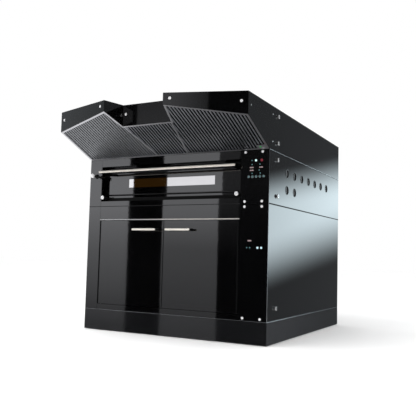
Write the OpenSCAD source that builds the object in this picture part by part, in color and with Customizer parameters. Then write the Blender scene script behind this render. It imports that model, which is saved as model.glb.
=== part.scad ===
// Free-standing deck oven for pizza on a proving cabinet, with a motor hood.
// X runs to the right seen from the front, -Y is the front and Z is up. Millimetres.

/* [Overall size] */
// Width across the side panels
body_w = 1550; // [1450:10:1700]
// Depth from the front plates to the rear panels
body_l = 1700; // [1550:10:1900]
// Height of the plinth
plinth_h = 160; // [140:5:200]
// Height of the proving cabinet
cabinet_h = 805; // [760:5:880]
// Height of the baking deck
deck_h = 375; // [365:5:420]
// Height of the hood over the deck
hood_h = 310; // [300:5:360]

/* [Sheet metal] */
// Thickness of the outer panels
sheet = 2; // [1.5:0.5:3]
// Outer radius of the folds
fold_r = 5; // [4:0.5:7]
// Width of the folded flanges
flange = 30; // [24:1:36]
// Gap between neighbouring fixed panels
panel_gap = 0.3; // [0.2:0.1:0.5]
// Gap between a door and its opening
door_gap = 3; // [2:0.5:4]
// Radial play of a turning pin in its hole
pin_play = 0.05; // [0.02:0.01:0.1]

/* [Front layout] */
// Width of the left stile
stile_w = 115; // [110:1:130]
// Width of the control panels
control_w = 215; // [205:1:230]
// Width of the left cabinet door's bay
left_bay_w = 597; // [560:1:640]
// Height of the rail under the cabinet doors
bottom_rail_h = 42; // [40:1:60]
// Height of the rail over the cabinet doors
top_rail_h = 110; // [100:1:125]
// Height of the drip strip over the cabinet doors
drip_h = 7; // [5:1:9]
// Depth of the folded front frames
frame_d = 40; // [36:1:50]

/* [Cabinet doors] */
// Thickness of a cabinet door
door_t = 22; // [20:1:24]
// Radius of the hinge pins
door_pin_r = 5; // [4:0.5:6]
// Length of a hinge pin outside the door
door_pin_l = 12; // [10:1:14]
// Length of a door handle
pull_l = 210; // [180:5:240]
// Thickness of a door handle's bar
pull_t = 16; // [12:1:18]
// Distance from the door to the far side of its handle
pull_reach = 62; // [50:1:70]
// Distance from the handle's end to the gap between the doors
pull_inset = 42; // [36:1:60]
// Distance from the top of the door to the handle
pull_drop = 70; // [60:1:90]

/* [Proving cabinet] */
// Wall thickness of the inner liners
liner_t = 1.5; // [1:0.5:2]
// Space behind the cabinet liner
liner_back = 250; // [200:10:300]
// Number of tray levels
rack_levels = 6; // [4:1:7]
// Width of a tray runner
runner_w = 22; // [18:1:26]
// Radius of the tubes of all heating elements
element_r = 5; // [4:0.5:6]

/* [Oven recess and door] */
// Height of the strip under the recess
recess_sill_h = 40; // [36:1:46]
// Height of the strip over the recess
recess_head_h = 60; // [50:1:64]
// Depth of the recess in front of the oven door
recess_d = 52; // [46:1:60]
// Thickness of the oven door
oven_door_t = 28; // [26:1:32]
// Height of the fixed lip under the oven door
oven_lip_h = 46; // [44:1:52]
// Height of the sloping head of the oven door
door_head_h = 46; // [40:1:52]
// Width of the window
window_w = 744; // [600:4:880]
// Height of the window
window_h = 50; // [44:1:64]
// Height of the window's centre over the oven door's lower edge
window_rise = 97; // [90:1:104]
// Thickness of the window glass
glass_t = 5; // [4:0.5:6]
// Radius of the oven door's pivot pins
pivot_r = 6; // [5:0.5:7]
// Radius of the handle bar
bar_r = 9; // [8:0.5:11]
// Distance from the top of the oven door to the handle bar's axis
bar_drop = 41; // [36:1:48]
// Distance from the handle bar's axis to the oven door
bar_reach = 112; // [100:1:130]
// Distance from the bar's ends to the sides of the recess
bar_inset = 18; // [14:1:30]
// Width of a handle arm
arm_w = 16; // [12:1:20]
// Height of a handle arm at the door
arm_h = 34; // [28:1:38]
// Radius of a door rest
rest_r = 11; // [9:0.5:12]
// Distance from a door rest's axis to the side of the recess
rest_inset = 24; // [20:1:30]

/* [Baking chamber] */
// Width of the baking chamber
chamber_w = 1058; // [950:2:1080]
// Depth of the baking chamber
chamber_l = 1050; // [900:10:1250]
// Height of the chamber over the stone
chamber_h = 168; // [150:1:175]
// Thickness of the insulation round the chamber
wool_t = 55; // [45:1:60]
// Thickness of the refractory slabs
slab_t = 18; // [14:1:20]
// Number of slabs across the chamber
slab_count = 4; // [2:1:4]
// Number of heating elements in the roof and in the floor
element_count = 4; // [2:1:5]
// Distance between an element's two legs
element_pitch = 110; // [80:2:130]

/* [Damper] */
// Height of the damper pull over the recess floor
damper_rise = 201; // [190:1:210]
// Radius of the damper knob
knob_r = 17; // [14:0.5:18]
// Distance from the stile to the knob's centre
knob_reach = 58; // [50:1:66]
// Radius of the damper rod
rod_r = 4; // [3:0.5:5]
// Radius of the damper's neck at the stile
neck_r = 12; // [9:0.5:14]
// Travel of the damper
damper_travel = 60; // [40:5:60]

/* [Controls] */
// Radius of a key
key_r = 7; // [6:0.25:8]
// Travel of a key
key_travel = 1.5; // [1:0.25:2]
// Distance that a key stands out of its panel
key_proud = 2.5; // [2.25:0.25:3]
// Thickness of a control panel
control_t = 3; // [2:0.5:4]
// Distance between the keys of the lower row
key_pitch = 28; // [22:1:30]
// Radius of an indicator lamp
lamp_r = 4.5; // [3:0.25:6]
// Width of a display
display_w = 28; // [22:1:32]
// Height of a display
display_h = 9; // [8:1:16]

/* [Hood] */
// Reach of the hood in front of the deck at the sides and centre
reach_out = 370; // [320:5:400]
// Reach of the wings' inner corners
reach_in = 540; // [480:5:580]
// Distance from the side to a wing's inner corner
wing_w = 535; // [480:5:560]
// Distance from the side to the centre fascia
notch_w = 575; // [565:5:620]
// Distance from the side to the foot of the filter divider
divider_w = 645; // [625:5:680]
// Rise of the filters for each unit forwards
filter_slope = 0.43; // [0.38:0.01:0.46]
// Width of the filter rails
rail_w = 14; // [10:1:18]
// Thickness of the filter rails
rail_t = 4; // [3:0.5:5]
// Distance between neighbouring filter slats
slat_pitch = 23.5; // [22:0.5:27]
// Width of a filter slat
slat_w = 10.5; // [9:0.5:14]
// Height of a filter slat
slat_h = 12; // [10:0.5:14]
// Thickness of the slat metal
slat_t = 1.2; // [1:0.1:1.5]

/* [Extractor fan] */
// Radius of the fan wheel
wheel_r = 92; // [80:1:100]
// Length of the fan wheel
wheel_l = 110; // [90:2:130]
// Number of blades
blade_count = 28; // [20:1:36]
// Outer radius of the outlet collar
duct_r = 98; // [80:1:100]
// Height of the outlet collar over the hood
duct_h = 60; // [50:1:80]

/* [Fasteners and fittings] */
// Radius of the cover screws' caps
screw_r = 9.5; // [7:0.5:11]
// Radius of the large cap nuts
cap_r = 15; // [12:0.5:17]
// Radius of the round vents
vent_r = 32; // [28:1:38]
// Distance between the vents
vent_pitch = 162; // [140:2:170]
// Number of vents in the upper row
vent_count = 7; // [3:1:7]
// Radius of the levelling feet
foot_r = 32; // [26:1:40]
// Radius of the cable glands
gland_r = 18; // [14:1:20]
// Distance that the cable glands stand out of the rear
gland_l = 26; // [20:1:32]

/* [Hidden] */
$fn = 32;
// Overlap of shapes that are joined or cut
eps = 1;

// Main planes: the sides, the front, the rear and the levels
x_side = body_w / 2;
y_front = reach_in - (reach_in + body_l + gland_l) / 2;
y_rear = y_front + body_l;
z_cabinet = plinth_h;
z_deck = z_cabinet + cabinet_h;
z_hood = z_deck + deck_h;
z_top = z_hood + hood_h;

// Front layout
x_stile = -x_side + stile_w;
x_control = x_side - control_w;
x_split = x_stile + left_bay_w;
x_bay = (x_stile + x_control) / 2;
bay_w = x_control - x_stile;
z_bay = z_cabinet + bottom_rail_h;
z_bay_top = z_deck - top_rail_h;
groove_w = 2;
groove_d = 1;

// Cabinet doors: each turns about a pin inside its rounded outer edge
door_edge_r = door_t / 2;
y_door_pin = y_front + door_edge_r;
left_pin_x = x_stile + door_gap + door_edge_r;
right_pin_x = x_control - door_gap - door_edge_r;
door_z = z_bay + door_gap;
door_h = z_bay_top - z_bay - 2 * door_gap;
pin_boss_h = 14;
pin_boss_w = 30;
pull_z = door_z + door_h - pull_drop;
pull_post_r = 7.5;
pull_post_inset = 12;
pull_r = pull_t / 2;

// Oven recess, its door and the door's pivots
z_recess = z_deck + recess_sill_h;
z_recess_top = z_hood - recess_head_h;
y_oven_door = y_front + recess_d;
z_lip = z_recess + oven_lip_h;
oven_edge_r = oven_door_t / 2;
z_pivot = z_lip + panel_gap + oven_edge_r;
y_pivot = y_oven_door + oven_edge_r;
oven_door_top = z_recess_top - 2 * door_gap;
oven_door_x0 = x_stile + door_gap;
oven_door_w = bay_w - 2 * door_gap;
pivot_boss_l = 12;
pivot_boss_r = pivot_r + 6;
y_mouth = y_oven_door + oven_door_t + door_gap;
z_window = z_lip + window_rise;
z_bar = oven_door_top - bar_drop;
y_bar = y_oven_door - bar_reach;
bar_x0 = x_stile + bar_inset;
bar_l = bay_w - 2 * bar_inset;
z_rest = z_lip + panel_gap - cap_r - 1;
rest_out = 14;
rest_l = recess_d + rest_out;

// Baking chamber, from the mouth plate to the rear
x_chamber = x_bay;
y_chamber = y_mouth + sheet + panel_gap;
z_stone = z_lip;
z_chamber_top = z_stone + chamber_h;
z_chamber_floor = z_stone - slab_t - 2 * element_r - 8;
wool_x = chamber_w / 2 + liner_t + panel_gap;
wool_out_x = wool_x + wool_t;
wool_back_y = y_chamber + chamber_l + liner_t + panel_gap + wool_t;
wool_low_z = z_deck + sheet + panel_gap;
wool_top_z = z_chamber_top + liner_t + panel_gap + wool_t;
element_l = chamber_l - 120;
element_gap = chamber_w / element_count;

// Damper
x_damper = -x_side + stile_w * 0.58;
z_damper = z_recess + damper_rise;
flue_w = 56;
flue_h = 26;
shutter_w = flue_w + 6;
shutter_h = flue_h + 18;
shutter_t = 3;
y_shutter = y_chamber + 150;
z_flue = z_chamber_top - 24;

// Keys, lamps and displays: offsets from the control panel's middle and from the foot of the panel
control_x = x_side - control_w / 2;
y_control = y_front;
key_row_rise = 187;
power_key_rise = 300;
cabinet_key_rise = 500;
key_row_x = control_x + 10;
key_row_z = z_deck + key_row_rise;
power_key_x = control_x + 7;
power_key_z = z_deck + power_key_rise;
cabinet_key_x = control_x + 30;
cabinet_key_z = z_cabinet + cabinet_key_rise;
alarm_lamp_r = 10;
upper_displays = [[-25, 231], [-25, 251], [45, 251]];
upper_lamps = [[50, 300, alarm_lamp_r], [-23, 300, lamp_r], [-22, 272, lamp_r], [37, 272, lamp_r],
  [32, 231, lamp_r], [-21, 210, lamp_r], [40, 210, lamp_r]];
lower_displays = [[-31, 548]];
lower_lamps = [[-51, 500, lamp_r], [-28, 500, lamp_r]];
key_stem_r = 3;
key_stem_l = 12;
key_play = 0.3;
key_guide_l = 8;
key_cap_in = 2.5;

// Hood: the slanted filter plane starts at the deck's front top edge
slope_a = atan(filter_slope);
rail_drop = 1;
fan_setback = 900;
fan_y = y_front + fan_setback;
housing_t = 1.5;
scroll_r = wheel_r + 8;
scroll_grow = 26;
fan_z = z_hood + sheet + panel_gap + scroll_r + scroll_grow + housing_t;
housing_l = wheel_l + 20;
shaft_r = 6;
motor_r = 60;
motor_l = 130;

// Switchgear: plate, rails, relays and terminals
gear_setback = 180;
gear_l = 520;
gear_h = 250;
gear_foot = 40;
gear_inset = 30;
din_h = 34;
din_t = 8;
din_inset = 20;
relay_w = 45;
relay_d = 70;
relay_h = 85;
relay_pitch = 55;
relay_z = 130;
terminal_w = 20;
terminal_d = 43;
terminal_h = 44;
terminal_pitch = 26;
terminal_z = 48;

// Feet and base frame
tube_w = 50;
tube_t = 3;
skirt_gap = 5;
frame_low = plinth_h - panel_gap - tube_w;
foot_h = 12;
stem_r = 8;

// The hood's plan, from the left rear corner round the front to the right rear corner
hood_plan = [[-x_side, y_rear], [-x_side, y_front - reach_out],
  [-x_side + wing_w, y_front - reach_in], [-x_side + notch_w, y_front - reach_out],
  [x_side - notch_w, y_front - reach_out], [x_side - wing_w, y_front - reach_in],
  [x_side, y_front - reach_out], [x_side, y_rear]];

// Colours
gloss_black = [0.06, 0.06, 0.07];
matt_black = [0.10, 0.10, 0.11];
steel = [0.62, 0.63, 0.64];
bright = [0.86, 0.86, 0.87];
warm_steel = [0.72, 0.69, 0.64];

// Helpers for outlines
function unit(v) = v / norm(v);
function left_of(v) = [-v[1], v[0]];
function mitre(a, b, t) = let (m = unit(left_of(a) + left_of(b))) m * t / (m * left_of(b));
// An open line shifted to its left by t, with mitred corners
function shifted_line(p, t) = let (n = len(p)) [for (i = [0:n - 1])
  let (a = unit(p[max(i, 1)] - p[max(i, 1) - 1]), b = unit(p[min(i, n - 2) + 1] - p[min(i, n - 2)]))
  p[i] + mitre(a, b, t)];
// A closed anticlockwise outline drawn inwards by t
function inset(p, t) = let (n = len(p)) [for (i = [0:n - 1])
  let (a = unit(p[i] - p[(i + n - 1) % n]), b = unit(p[(i + 1) % n] - p[i])) p[i] + mitre(a, b, t)];
function reversed(p) = [for (i = [len(p) - 1:-1:0]) p[i]];
function mirrored(p) = reversed([for (q = p) [-q[0], q[1]]]);

module round_rect(w, h, r) {
  translate([r, 0]) square([w - 2 * r, h]);
  translate([0, r]) square([w, h - 2 * r]);
  for (x = [r, w - r], y = [r, h - r]) translate([x, y]) circle(r);
}
// A drawing in x and z, given thickness from y backwards
module xz_plate(y, t) translate([0, y + t, 0]) rotate([90, 0, 0]) linear_extrude(t) children();
// A drawing in y and z, given thickness from x to the right
module yz_plate(x, t) translate([x, 0, 0]) rotate([90, 0, 90]) linear_extrude(t) children();
module box(low, high) translate(low) cube(high - low);
// Round bars of radius r and length l, from a point to the right or backwards
module bar_x(x, y, z, r, l) translate([x, y, z]) rotate([0, 90, 0]) cylinder(r = r, h = l);
module bar_y(x, y, z, r, l) translate([x, y, z]) rotate([-90, 0, 0]) cylinder(r = r, h = l);
// Children turned so that their z axis points forwards, then swung by a to the right
module facing(p, a = 0) translate(p) rotate([90, 0, a]) children();
module both_sides() {
  children();
  mirror([1, 0, 0]) children();
}

// Plinth and its frame
module plinth_skirt() color(gloss_black) {
  top = plinth_h - panel_gap;
  difference() {
    box([-x_side, y_front, skirt_gap], [x_side, y_rear, top]);
    box([-x_side + sheet, y_front + sheet, skirt_gap + sheet],
      [x_side - sheet, y_rear - sheet, top - sheet]);
    box([-x_side + flange, y_front + flange, 0], [x_side - flange, y_rear - flange, plinth_h + eps]);
    bar_y(gland_x, y_rear - 2 * sheet, z_low_gland, gland_hole_r, 4 * sheet);
  }
}
gland_x = x_side - gland_r - 2;
gland_hole_r = gland_r - 6;
high_gland_rise = 85;
z_low_gland = 100;
z_high_gland = z_cabinet + high_gland_rise;

// Base frame: a grid of square tubes, with a foot under each crossing
foot_side_inset = 80;
foot_end_inset = 120;
foot_x = x_side - foot_side_inset;
foot_ys = [y_front + foot_end_inset, (y_front + y_rear) / 2, y_rear - foot_end_inset];
module frame_plan(w) {
  for (x = [-foot_x, foot_x]) translate([x - w / 2, foot_ys[0] - w / 2])
    square([w, foot_ys[2] - foot_ys[0] + w]);
  for (y = foot_ys) translate([-foot_x, y - w / 2]) square([2 * foot_x, w]);
}
module base_frame() color(matt_black) difference() {
  translate([0, 0, frame_low]) linear_extrude(tube_w) frame_plan(tube_w);
  translate([0, 0, frame_low + tube_t]) linear_extrude(tube_w - 2 * tube_t)
    frame_plan(tube_w - 2 * tube_t);
  for (x = [-foot_x, foot_x], y = foot_ys)
    translate([x, y, frame_low - eps]) cylinder(r = stem_r + panel_gap, h = tube_t + 2 * eps);
}
foot_rim_h = 4;
foot_neck_r = stem_r + 6;
foot_nut_r = 15;
foot_nut_h = 11;
module levelling_feet() color(steel) for (x = [-foot_x, foot_x], y = foot_ys) translate([x, y, 0]) {
  rotate_extrude()
    polygon([[0, 0], [foot_r, 0], [foot_r, foot_rim_h], [foot_neck_r, foot_h], [0, foot_h]]);
  cylinder(r = stem_r, h = frame_low + tube_w / 2);
  translate([0, 0, frame_low - foot_nut_h])
    cylinder(r = foot_nut_r, h = foot_nut_h - panel_gap, $fn = 6);
}

// Outer side shells of the cabinet and the deck: a web with folded flanges at the top and bottom
module side_profile(h) difference() {
  translate([-2 * flange, 0]) round_rect(2 * flange, h, fold_r);
  translate([-2 * flange + sheet, sheet])
    round_rect(2 * flange - 2 * sheet, h - 2 * sheet, fold_r - sheet);
  translate([-2 * flange - eps, -eps]) square([flange + eps, h + 2 * eps]);
}
control_back_y = y_front + control_t + panel_gap;
side_shell_l = y_rear - sheet - panel_gap - control_back_y;
module side_shell(z, h) color(gloss_black)
  translate([x_side, 0, z]) xz_plate(control_back_y, side_shell_l) side_profile(h);
module cabinet_right_side() side_shell(z_cabinet, cabinet_h - panel_gap);
module cabinet_left_side() mirror([1, 0, 0]) side_shell(z_cabinet, cabinet_h - panel_gap);

// Round vents: a row along the side and two more under its front end
first_vent_setback = 346;
upper_vent_rise = 248;
lower_vent_rise = 125;
y_first_vent = y_front + first_vent_setback;
z_upper_vents = z_deck + upper_vent_rise;
z_lower_vents = z_deck + lower_vent_rise;
module vent(i, z) bar_x(x_side - flange, y_first_vent + i * vent_pitch, z, vent_r, 2 * flange);
module vented_side() difference() {
  side_shell(z_deck, deck_h - panel_gap);
  for (i = [0:vent_count - 1]) vent(i, z_upper_vents);
  for (i = [0:1]) vent(i, z_lower_vents);
}
module deck_right_side() vented_side();
module deck_left_side() mirror([1, 0, 0]) vented_side();

// Rear panels, each folded forwards at its foot into the tray that carries what stands in it
tray_x = x_side - flange - panel_gap;
module rear_panel(z, h, hole_xs, hole_z, hole_r) color(gloss_black) difference() {
  union() {
    box([-x_side, y_rear - sheet, z], [x_side, y_rear, z + h]);
    box([-tray_x, y_front + frame_d + panel_gap, z], [tray_x, y_rear - sheet + eps / 2, z + sheet]);
    box([-tray_x, y_rear - flange, z + h - sheet], [tray_x, y_rear - sheet + eps / 2, z + h]);
  }
  for (x = hole_xs) bar_y(x, y_rear - 2 * sheet, hole_z, hole_r, 4 * sheet);
}
module cabinet_rear_panel()
  rear_panel(z_cabinet, cabinet_h - panel_gap, [gland_x], z_high_gland, gland_hole_r);
louvre_w = 160;
louvre_h = 8;
louvre_pitch = 24;
louvre_rise = 150;
louvre_z = z_deck + louvre_rise;
module louvre(x, z)
  box([x - louvre_w / 2, y_rear - 2 * sheet, z], [x + louvre_w / 2, y_rear + eps, z + louvre_h]);
module deck_rear_panel() color(gloss_black) difference() {
  rear_panel(z_deck, deck_h - panel_gap, [], 0, 1);
  for (x = [-x_side / 2, x_side / 2], i = [0:5]) louvre(x, louvre_z + i * louvre_pitch);
}
// A cable gland: a six-sided foot, a body tapered to its mouth and a tail through the panel
gland_foot_h = 8;
gland_body_r = gland_r * 0.72;
gland_body_h = 14;
gland_mouth_r = gland_r * 0.5;
gland_tail_l = 10;
cable_hole_r = gland_r * 0.33;
module gland(x, z) translate([x, y_rear, z]) rotate([-90, 0, 0]) difference() {
  union() {
    translate([0, 0, panel_gap / 3]) cylinder(r = gland_r, h = gland_foot_h, $fn = 6);
    cylinder(r = gland_body_r, h = gland_body_h);
    translate([0, 0, gland_body_h])
      cylinder(r1 = gland_body_r, r2 = gland_mouth_r, h = gland_l - gland_body_h);
    translate([0, 0, -gland_tail_l]) cylinder(r = gland_hole_r - panel_gap, h = gland_tail_l + 2);
  }
  translate([0, 0, -gland_tail_l - eps])
    cylinder(r = cable_hole_r, h = gland_l + gland_tail_l + 2 * eps);
}
module cable_glands() color(matt_black) {
  gland(gland_x, z_high_gland);
  gland(gland_x, z_low_gland);
}

// Front frame of the cabinet: face, folded rims, jambs of the door bay and bosses for the hinge pins
rim_x = x_side - flange - 2 * panel_gap;
y_frame_back = y_front + frame_d;
panel_seat_rim = 20;
panel_seat_edge = 30;
// The line between the left stile and the doors' rails
module stile_grooves(z0, z1) xz_plate(y_front - eps, groove_d + eps)
  translate([x_stile - groove_w, z0]) square([groove_w, z1 - z0]);
module face_with_hole(z, h, hole_z, hole_h) {
  xz_plate(y_front, sheet) difference() {
    translate([-x_side, z]) square([x_control + x_side - panel_gap, h]);
    translate([x_stile, hole_z]) square([bay_w, hole_h]);
  }
  xz_plate(control_back_y, sheet) difference() {
    translate([x_control, z]) square([rim_x - x_control, h]);
    translate([x_control + panel_seat_rim, z + panel_seat_edge])
      square([control_w, h - 2 * panel_seat_edge]);
  }
  for (w = [z, z + h - sheet])
    box([-rim_x, y_front + sheet - eps / 2, w], [x_control, y_frame_back, w + sheet]);
}
// The corner that a control panel takes up in front of the frame
module panel_seat() box([x_control, y_front - eps, 0], [x_side + eps, control_back_y, z_top]);
y_in_sheet = y_front + sheet / 2;
module pin_boss(x, z)
  box([x - pin_boss_w / 2, y_in_sheet, z], [x + pin_boss_w / 2, y_frame_back, z + pin_boss_h]);
module cabinet_front_frame() color(gloss_black) difference() {
  union() {
    face_with_hole(z_cabinet, cabinet_h - panel_gap, z_bay, z_bay_top - z_bay);
    for (x = [x_stile - sheet, x_control])
      box([x, control_back_y, z_cabinet], [x + sheet, y_frame_back, z_deck - panel_gap]);
    box([x_stile - sheet, y_in_sheet, z_bay], [x_stile, y_frame_back, z_bay_top]);
    for (z = [z_bay - sheet, z_bay_top])
      box([x_stile - sheet, y_in_sheet, z], [x_control, y_frame_back, z + sheet]);
    for (x = [left_pin_x, right_pin_x], z = [z_bay - pin_boss_h, z_bay_top]) pin_boss(x, z);
  }
  stile_grooves(z_cabinet, z_deck);
  panel_seat();
  for (x = [left_pin_x, right_pin_x]) translate([x, y_door_pin, z_bay - pin_boss_h - eps])
    cylinder(r = door_pin_r + pin_play, h = z_bay_top - z_bay + 2 * (pin_boss_h + eps));
}
drip_out = 6;
z_drip = z_bay_top + 1;
z_drip_top = z_drip + drip_h;
module drip_strip() color(steel) {
  box([x_stile + groove_w, y_front - drip_out, z_drip],
    [x_control - groove_w, y_front - drip_out + sheet, z_drip_top]);
  box([x_stile + groove_w, y_front - drip_out + sheet / 2, z_drip_top - sheet],
    [x_control - groove_w, y_front, z_drip_top]);
}

// A cabinet door seen from its pin: a hollow leaf with a round hinge edge, w wide beyond the pin
leaf_chamfer = 1.5;
drain_r = 3;
module door_leaf(w) difference() {
  union() {
    translate([0, 0, door_z]) linear_extrude(door_h) union() {
      circle(door_edge_r);
      translate([0, -door_edge_r])
        polygon([[0, 0], [w - leaf_chamfer, 0], [w, leaf_chamfer], [w, door_t], [0, door_t]]);
    }
    translate([0, 0, door_z - door_pin_l]) cylinder(r = door_pin_r, h = door_h + 2 * door_pin_l);
  }
  box([door_edge_r, -door_edge_r + sheet, door_z + sheet],
    [w - sheet, door_edge_r - sheet, door_z + door_h - sheet]);
  translate([w / 2, 0, door_z - eps]) cylinder(r = drain_r, h = sheet + 2 * eps);
}
left_leaf_w = x_split - door_gap / 2 - left_pin_x;
right_leaf_w = right_pin_x - x_split - door_gap / 2;
module left_door() color(gloss_black) translate([left_pin_x, y_door_pin, 0]) door_leaf(left_leaf_w);
module right_door() color(gloss_black)
  translate([right_pin_x, y_door_pin, 0]) mirror([1, 0, 0]) door_leaf(right_leaf_w);

// A bar handle on two posts, its left end at x
pull_collar_h = 4;
pull_collar_r = pull_post_r + 3;
module door_pull(x) {
  y = y_front - pull_reach + pull_r;
  bar_x(x + pull_r, y, pull_z, pull_r, pull_l - pull_t);
  for (end = [x + pull_r, x + pull_l - pull_r]) translate([end, y, pull_z]) sphere(pull_r);
  for (post = [x + pull_post_inset, x + pull_l - pull_post_inset]) {
    bar_y(post, y, pull_z, pull_post_r, pull_reach - pull_r - panel_gap / 3);
    bar_y(post, y_front - pull_collar_h, pull_z, pull_collar_r, pull_collar_h - panel_gap / 3);
  }
}
module left_door_handle() color(warm_steel) door_pull(x_split - pull_inset - pull_l);
module right_door_handle() color(warm_steel) door_pull(x_split + pull_inset);

// Inside of the cabinet: liner on two bearers, tray racks and heater
liner_y0 = y_front + frame_d + panel_gap;
liner_y1 = y_rear - liner_back;
bearer_w = 50;
bearer_inset = 150;
bearer_setback = 60;
module cabinet_liner() color(steel) difference() {
  union() {
    box([x_stile - liner_t, liner_y0, z_bay - liner_t],
      [x_control + liner_t, liner_y1 + liner_t, z_bay_top + liner_t]);
    for (x = [x_stile + bearer_inset, x_control - bearer_inset - bearer_w])
      box([x, liner_y0 + bearer_setback, z_cabinet + sheet + panel_gap],
        [x + bearer_w, liner_y1 - bearer_setback, z_bay - liner_t / 2]);
  }
  box([x_stile, liner_y0 - eps, z_bay], [x_control, liner_y1, z_bay_top]);
  for (x = heater_xs, leg = [-1, 1])
    bar_y(x + leg * heater_pitch / 2, liner_y1 - eps, heater_z, element_r + panel_gap,
      liner_t + 2 * eps);
}
rack_foot = 60;
rack_pitch = (z_bay_top - z_bay - 2 * rack_foot) / rack_levels;
rack_setback = 40;
rack_l = liner_y1 - liner_y0 - 2 * rack_setback;
post_w = 18;
post_t = 3;
runner_t = 2;
runner_h = 18;
runner_section = [[0, 0], [post_t, 0], [post_t, runner_h - runner_t],
  [runner_t + runner_w, runner_h - runner_t], [runner_t + runner_w, runner_h], [0, runner_h]];
// One ladder of runners; side 1 carries them to the right of x, side -1 to the left
module ladder(x, side) translate([x, liner_y0 + rack_setback, 0]) mirror([side < 0 ? 1 : 0, 0, 0]) {
  for (y = [0, (rack_l - post_w) / 2, rack_l - post_w])
    box([0, y, z_bay + panel_gap], [post_t, y + post_w, z_bay_top - panel_gap]);
  for (i = [0:rack_levels - 1]) translate([0, rack_l, z_bay + rack_foot + i * rack_pitch])
    rotate([90, 0, 0]) linear_extrude(rack_l) polygon(runner_section);
}
module tray_racks() color(steel) {
  ladder(x_stile + panel_gap, 1);
  ladder(x_control - panel_gap, -1);
  ladder(x_split + panel_gap / 2, 1);
  ladder(x_split - panel_gap / 2, -1);
}
// A tubular element: two straight legs joined by a round bend, from its terminals at y forwards
module hairpin(x, y, z, l, p) translate([x, y, z]) {
  for (leg = [-1, 1]) translate([leg * p / 2, 0, 0]) rotate([90, 0, 0]) cylinder(r = element_r, h = l);
  translate([0, -l, 0]) rotate([0, 0, 180]) rotate_extrude(angle = 180)
    translate([p / 2, 0]) circle(element_r);
}
heater_pitch = 120;
heater_l = 440;
heater_tail = 40;
heater_z = z_bay + 3 * element_r;
heater_xs = [(x_stile + x_split) / 2, (x_split + x_control) / 2];
stand_t = 8;
stand_far = 350;
stand_near = 60;
module cabinet_heater() color(matt_black) for (x = heater_xs) {
  hairpin(x, liner_y1 + heater_tail, heater_z, heater_l, heater_pitch);
  for (y = [liner_y1 - stand_far, liner_y1 - stand_near])
    box([x - heater_pitch / 2 - stand_t, y, z_bay + panel_gap],
      [x + heater_pitch / 2 + stand_t, y + stand_t, heater_z]);
}

// Front frame of the deck: face, recess, fixed lip under the oven door and mouth plate
mouth_x0 = x_chamber - chamber_w / 2;
mouth_x1 = x_chamber + chamber_w / 2;
module deck_front_frame() color(gloss_black) difference() {
  union() {
    face_with_hole(z_deck, deck_h - panel_gap, z_recess, z_recess_top - z_recess);
    for (x = [x_stile - sheet, x_control])
      box([x, y_in_sheet, z_recess - sheet], [x + sheet, y_mouth + sheet, z_recess_top + sheet]);
    for (z = [z_recess - sheet, z_recess_top])
      box([x_stile - sheet, y_in_sheet, z], [x_control + sheet, y_mouth + sheet, z + sheet]);
    box([x_stile - eps, y_oven_door, z_recess - eps], [x_control + eps, y_oven_door + sheet, z_lip]);
    box([x_stile - eps, y_oven_door, z_lip - sheet], [x_control + eps, y_mouth + sheet, z_lip]);
    box([x_stile - eps, y_mouth, z_recess - eps],
      [x_control + eps, y_mouth + sheet, z_recess_top + eps]);
    for (x = [x_stile - sheet - pivot_boss_l, x_control + sheet / 2])
      bar_x(x, y_pivot, z_pivot, pivot_boss_r, pivot_boss_l + sheet / 2);
  }
  box([mouth_x0, y_mouth - eps, z_lip], [mouth_x1, y_mouth + sheet + eps, z_chamber_top]);
  stile_grooves(z_deck, z_hood);
  panel_seat();
  for (x = [x_stile - sheet - pivot_boss_l - eps, x_control - eps])
    bar_x(x, y_pivot, z_pivot, pivot_r + pin_play, pivot_boss_l + sheet + 2 * eps);
  bar_y(x_damper, y_front - eps, z_damper, rod_r + pin_play, sheet + 2 * eps);
  for (x = rest_xs)
    bar_y(x, y_oven_door - eps, z_rest, rest_bolt_r + panel_gap, sheet + 2 * eps);
}
rest_xs = [x_stile + rest_inset, x_control - rest_inset];
rest_bolt_r = 4;
rest_bolt_l = 10;
y_rest_end = y_oven_door - panel_gap / 3 - rest_l;
module door_rests() color(matt_black) for (x = rest_xs) {
  bar_y(x, y_rest_end, z_rest, rest_r, rest_l);
  bar_y(x, y_oven_door - eps, z_rest, rest_bolt_r, rest_bolt_l);
}

// Oven door: a hollow leaf with a round lower edge, a leaning head, two pivots and the bar's arms
head_lean = 10;
y_door_back = y_oven_door + oven_door_t;
module door_side() {
  translate([y_pivot, z_pivot]) circle(oven_edge_r);
  polygon([[y_oven_door, z_pivot], [y_door_back, z_pivot], [y_door_back, oven_door_top],
    [y_oven_door + head_lean, oven_door_top], [y_oven_door, oven_door_top - door_head_h]]);
}
arm_foot_z = z_bar - arm_h * 0.6;
arm_head_z = z_bar + arm_h * 0.4;
module arm_side() polygon([[y_oven_door + eps, arm_foot_z], [y_oven_door + head_lean, arm_foot_z],
  [y_oven_door + head_lean, arm_head_z], [y_bar + bar_r / 2, z_bar + bar_r - 1],
  [y_bar + bar_r / 2, z_bar - bar_r]]);
arm_inset = 6;
arm_xs = [bar_x0 + arm_inset, bar_x0 + bar_l - arm_inset - arm_w];
window_x0 = x_chamber - window_w / 2;
window_x1 = window_x0 + window_w;
window_z0 = z_window - window_h / 2;
window_z1 = z_window + window_h / 2;
rebate = 8;
rebate_d = glass_t + 2 * panel_gap;
drain_inset = 40;
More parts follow.
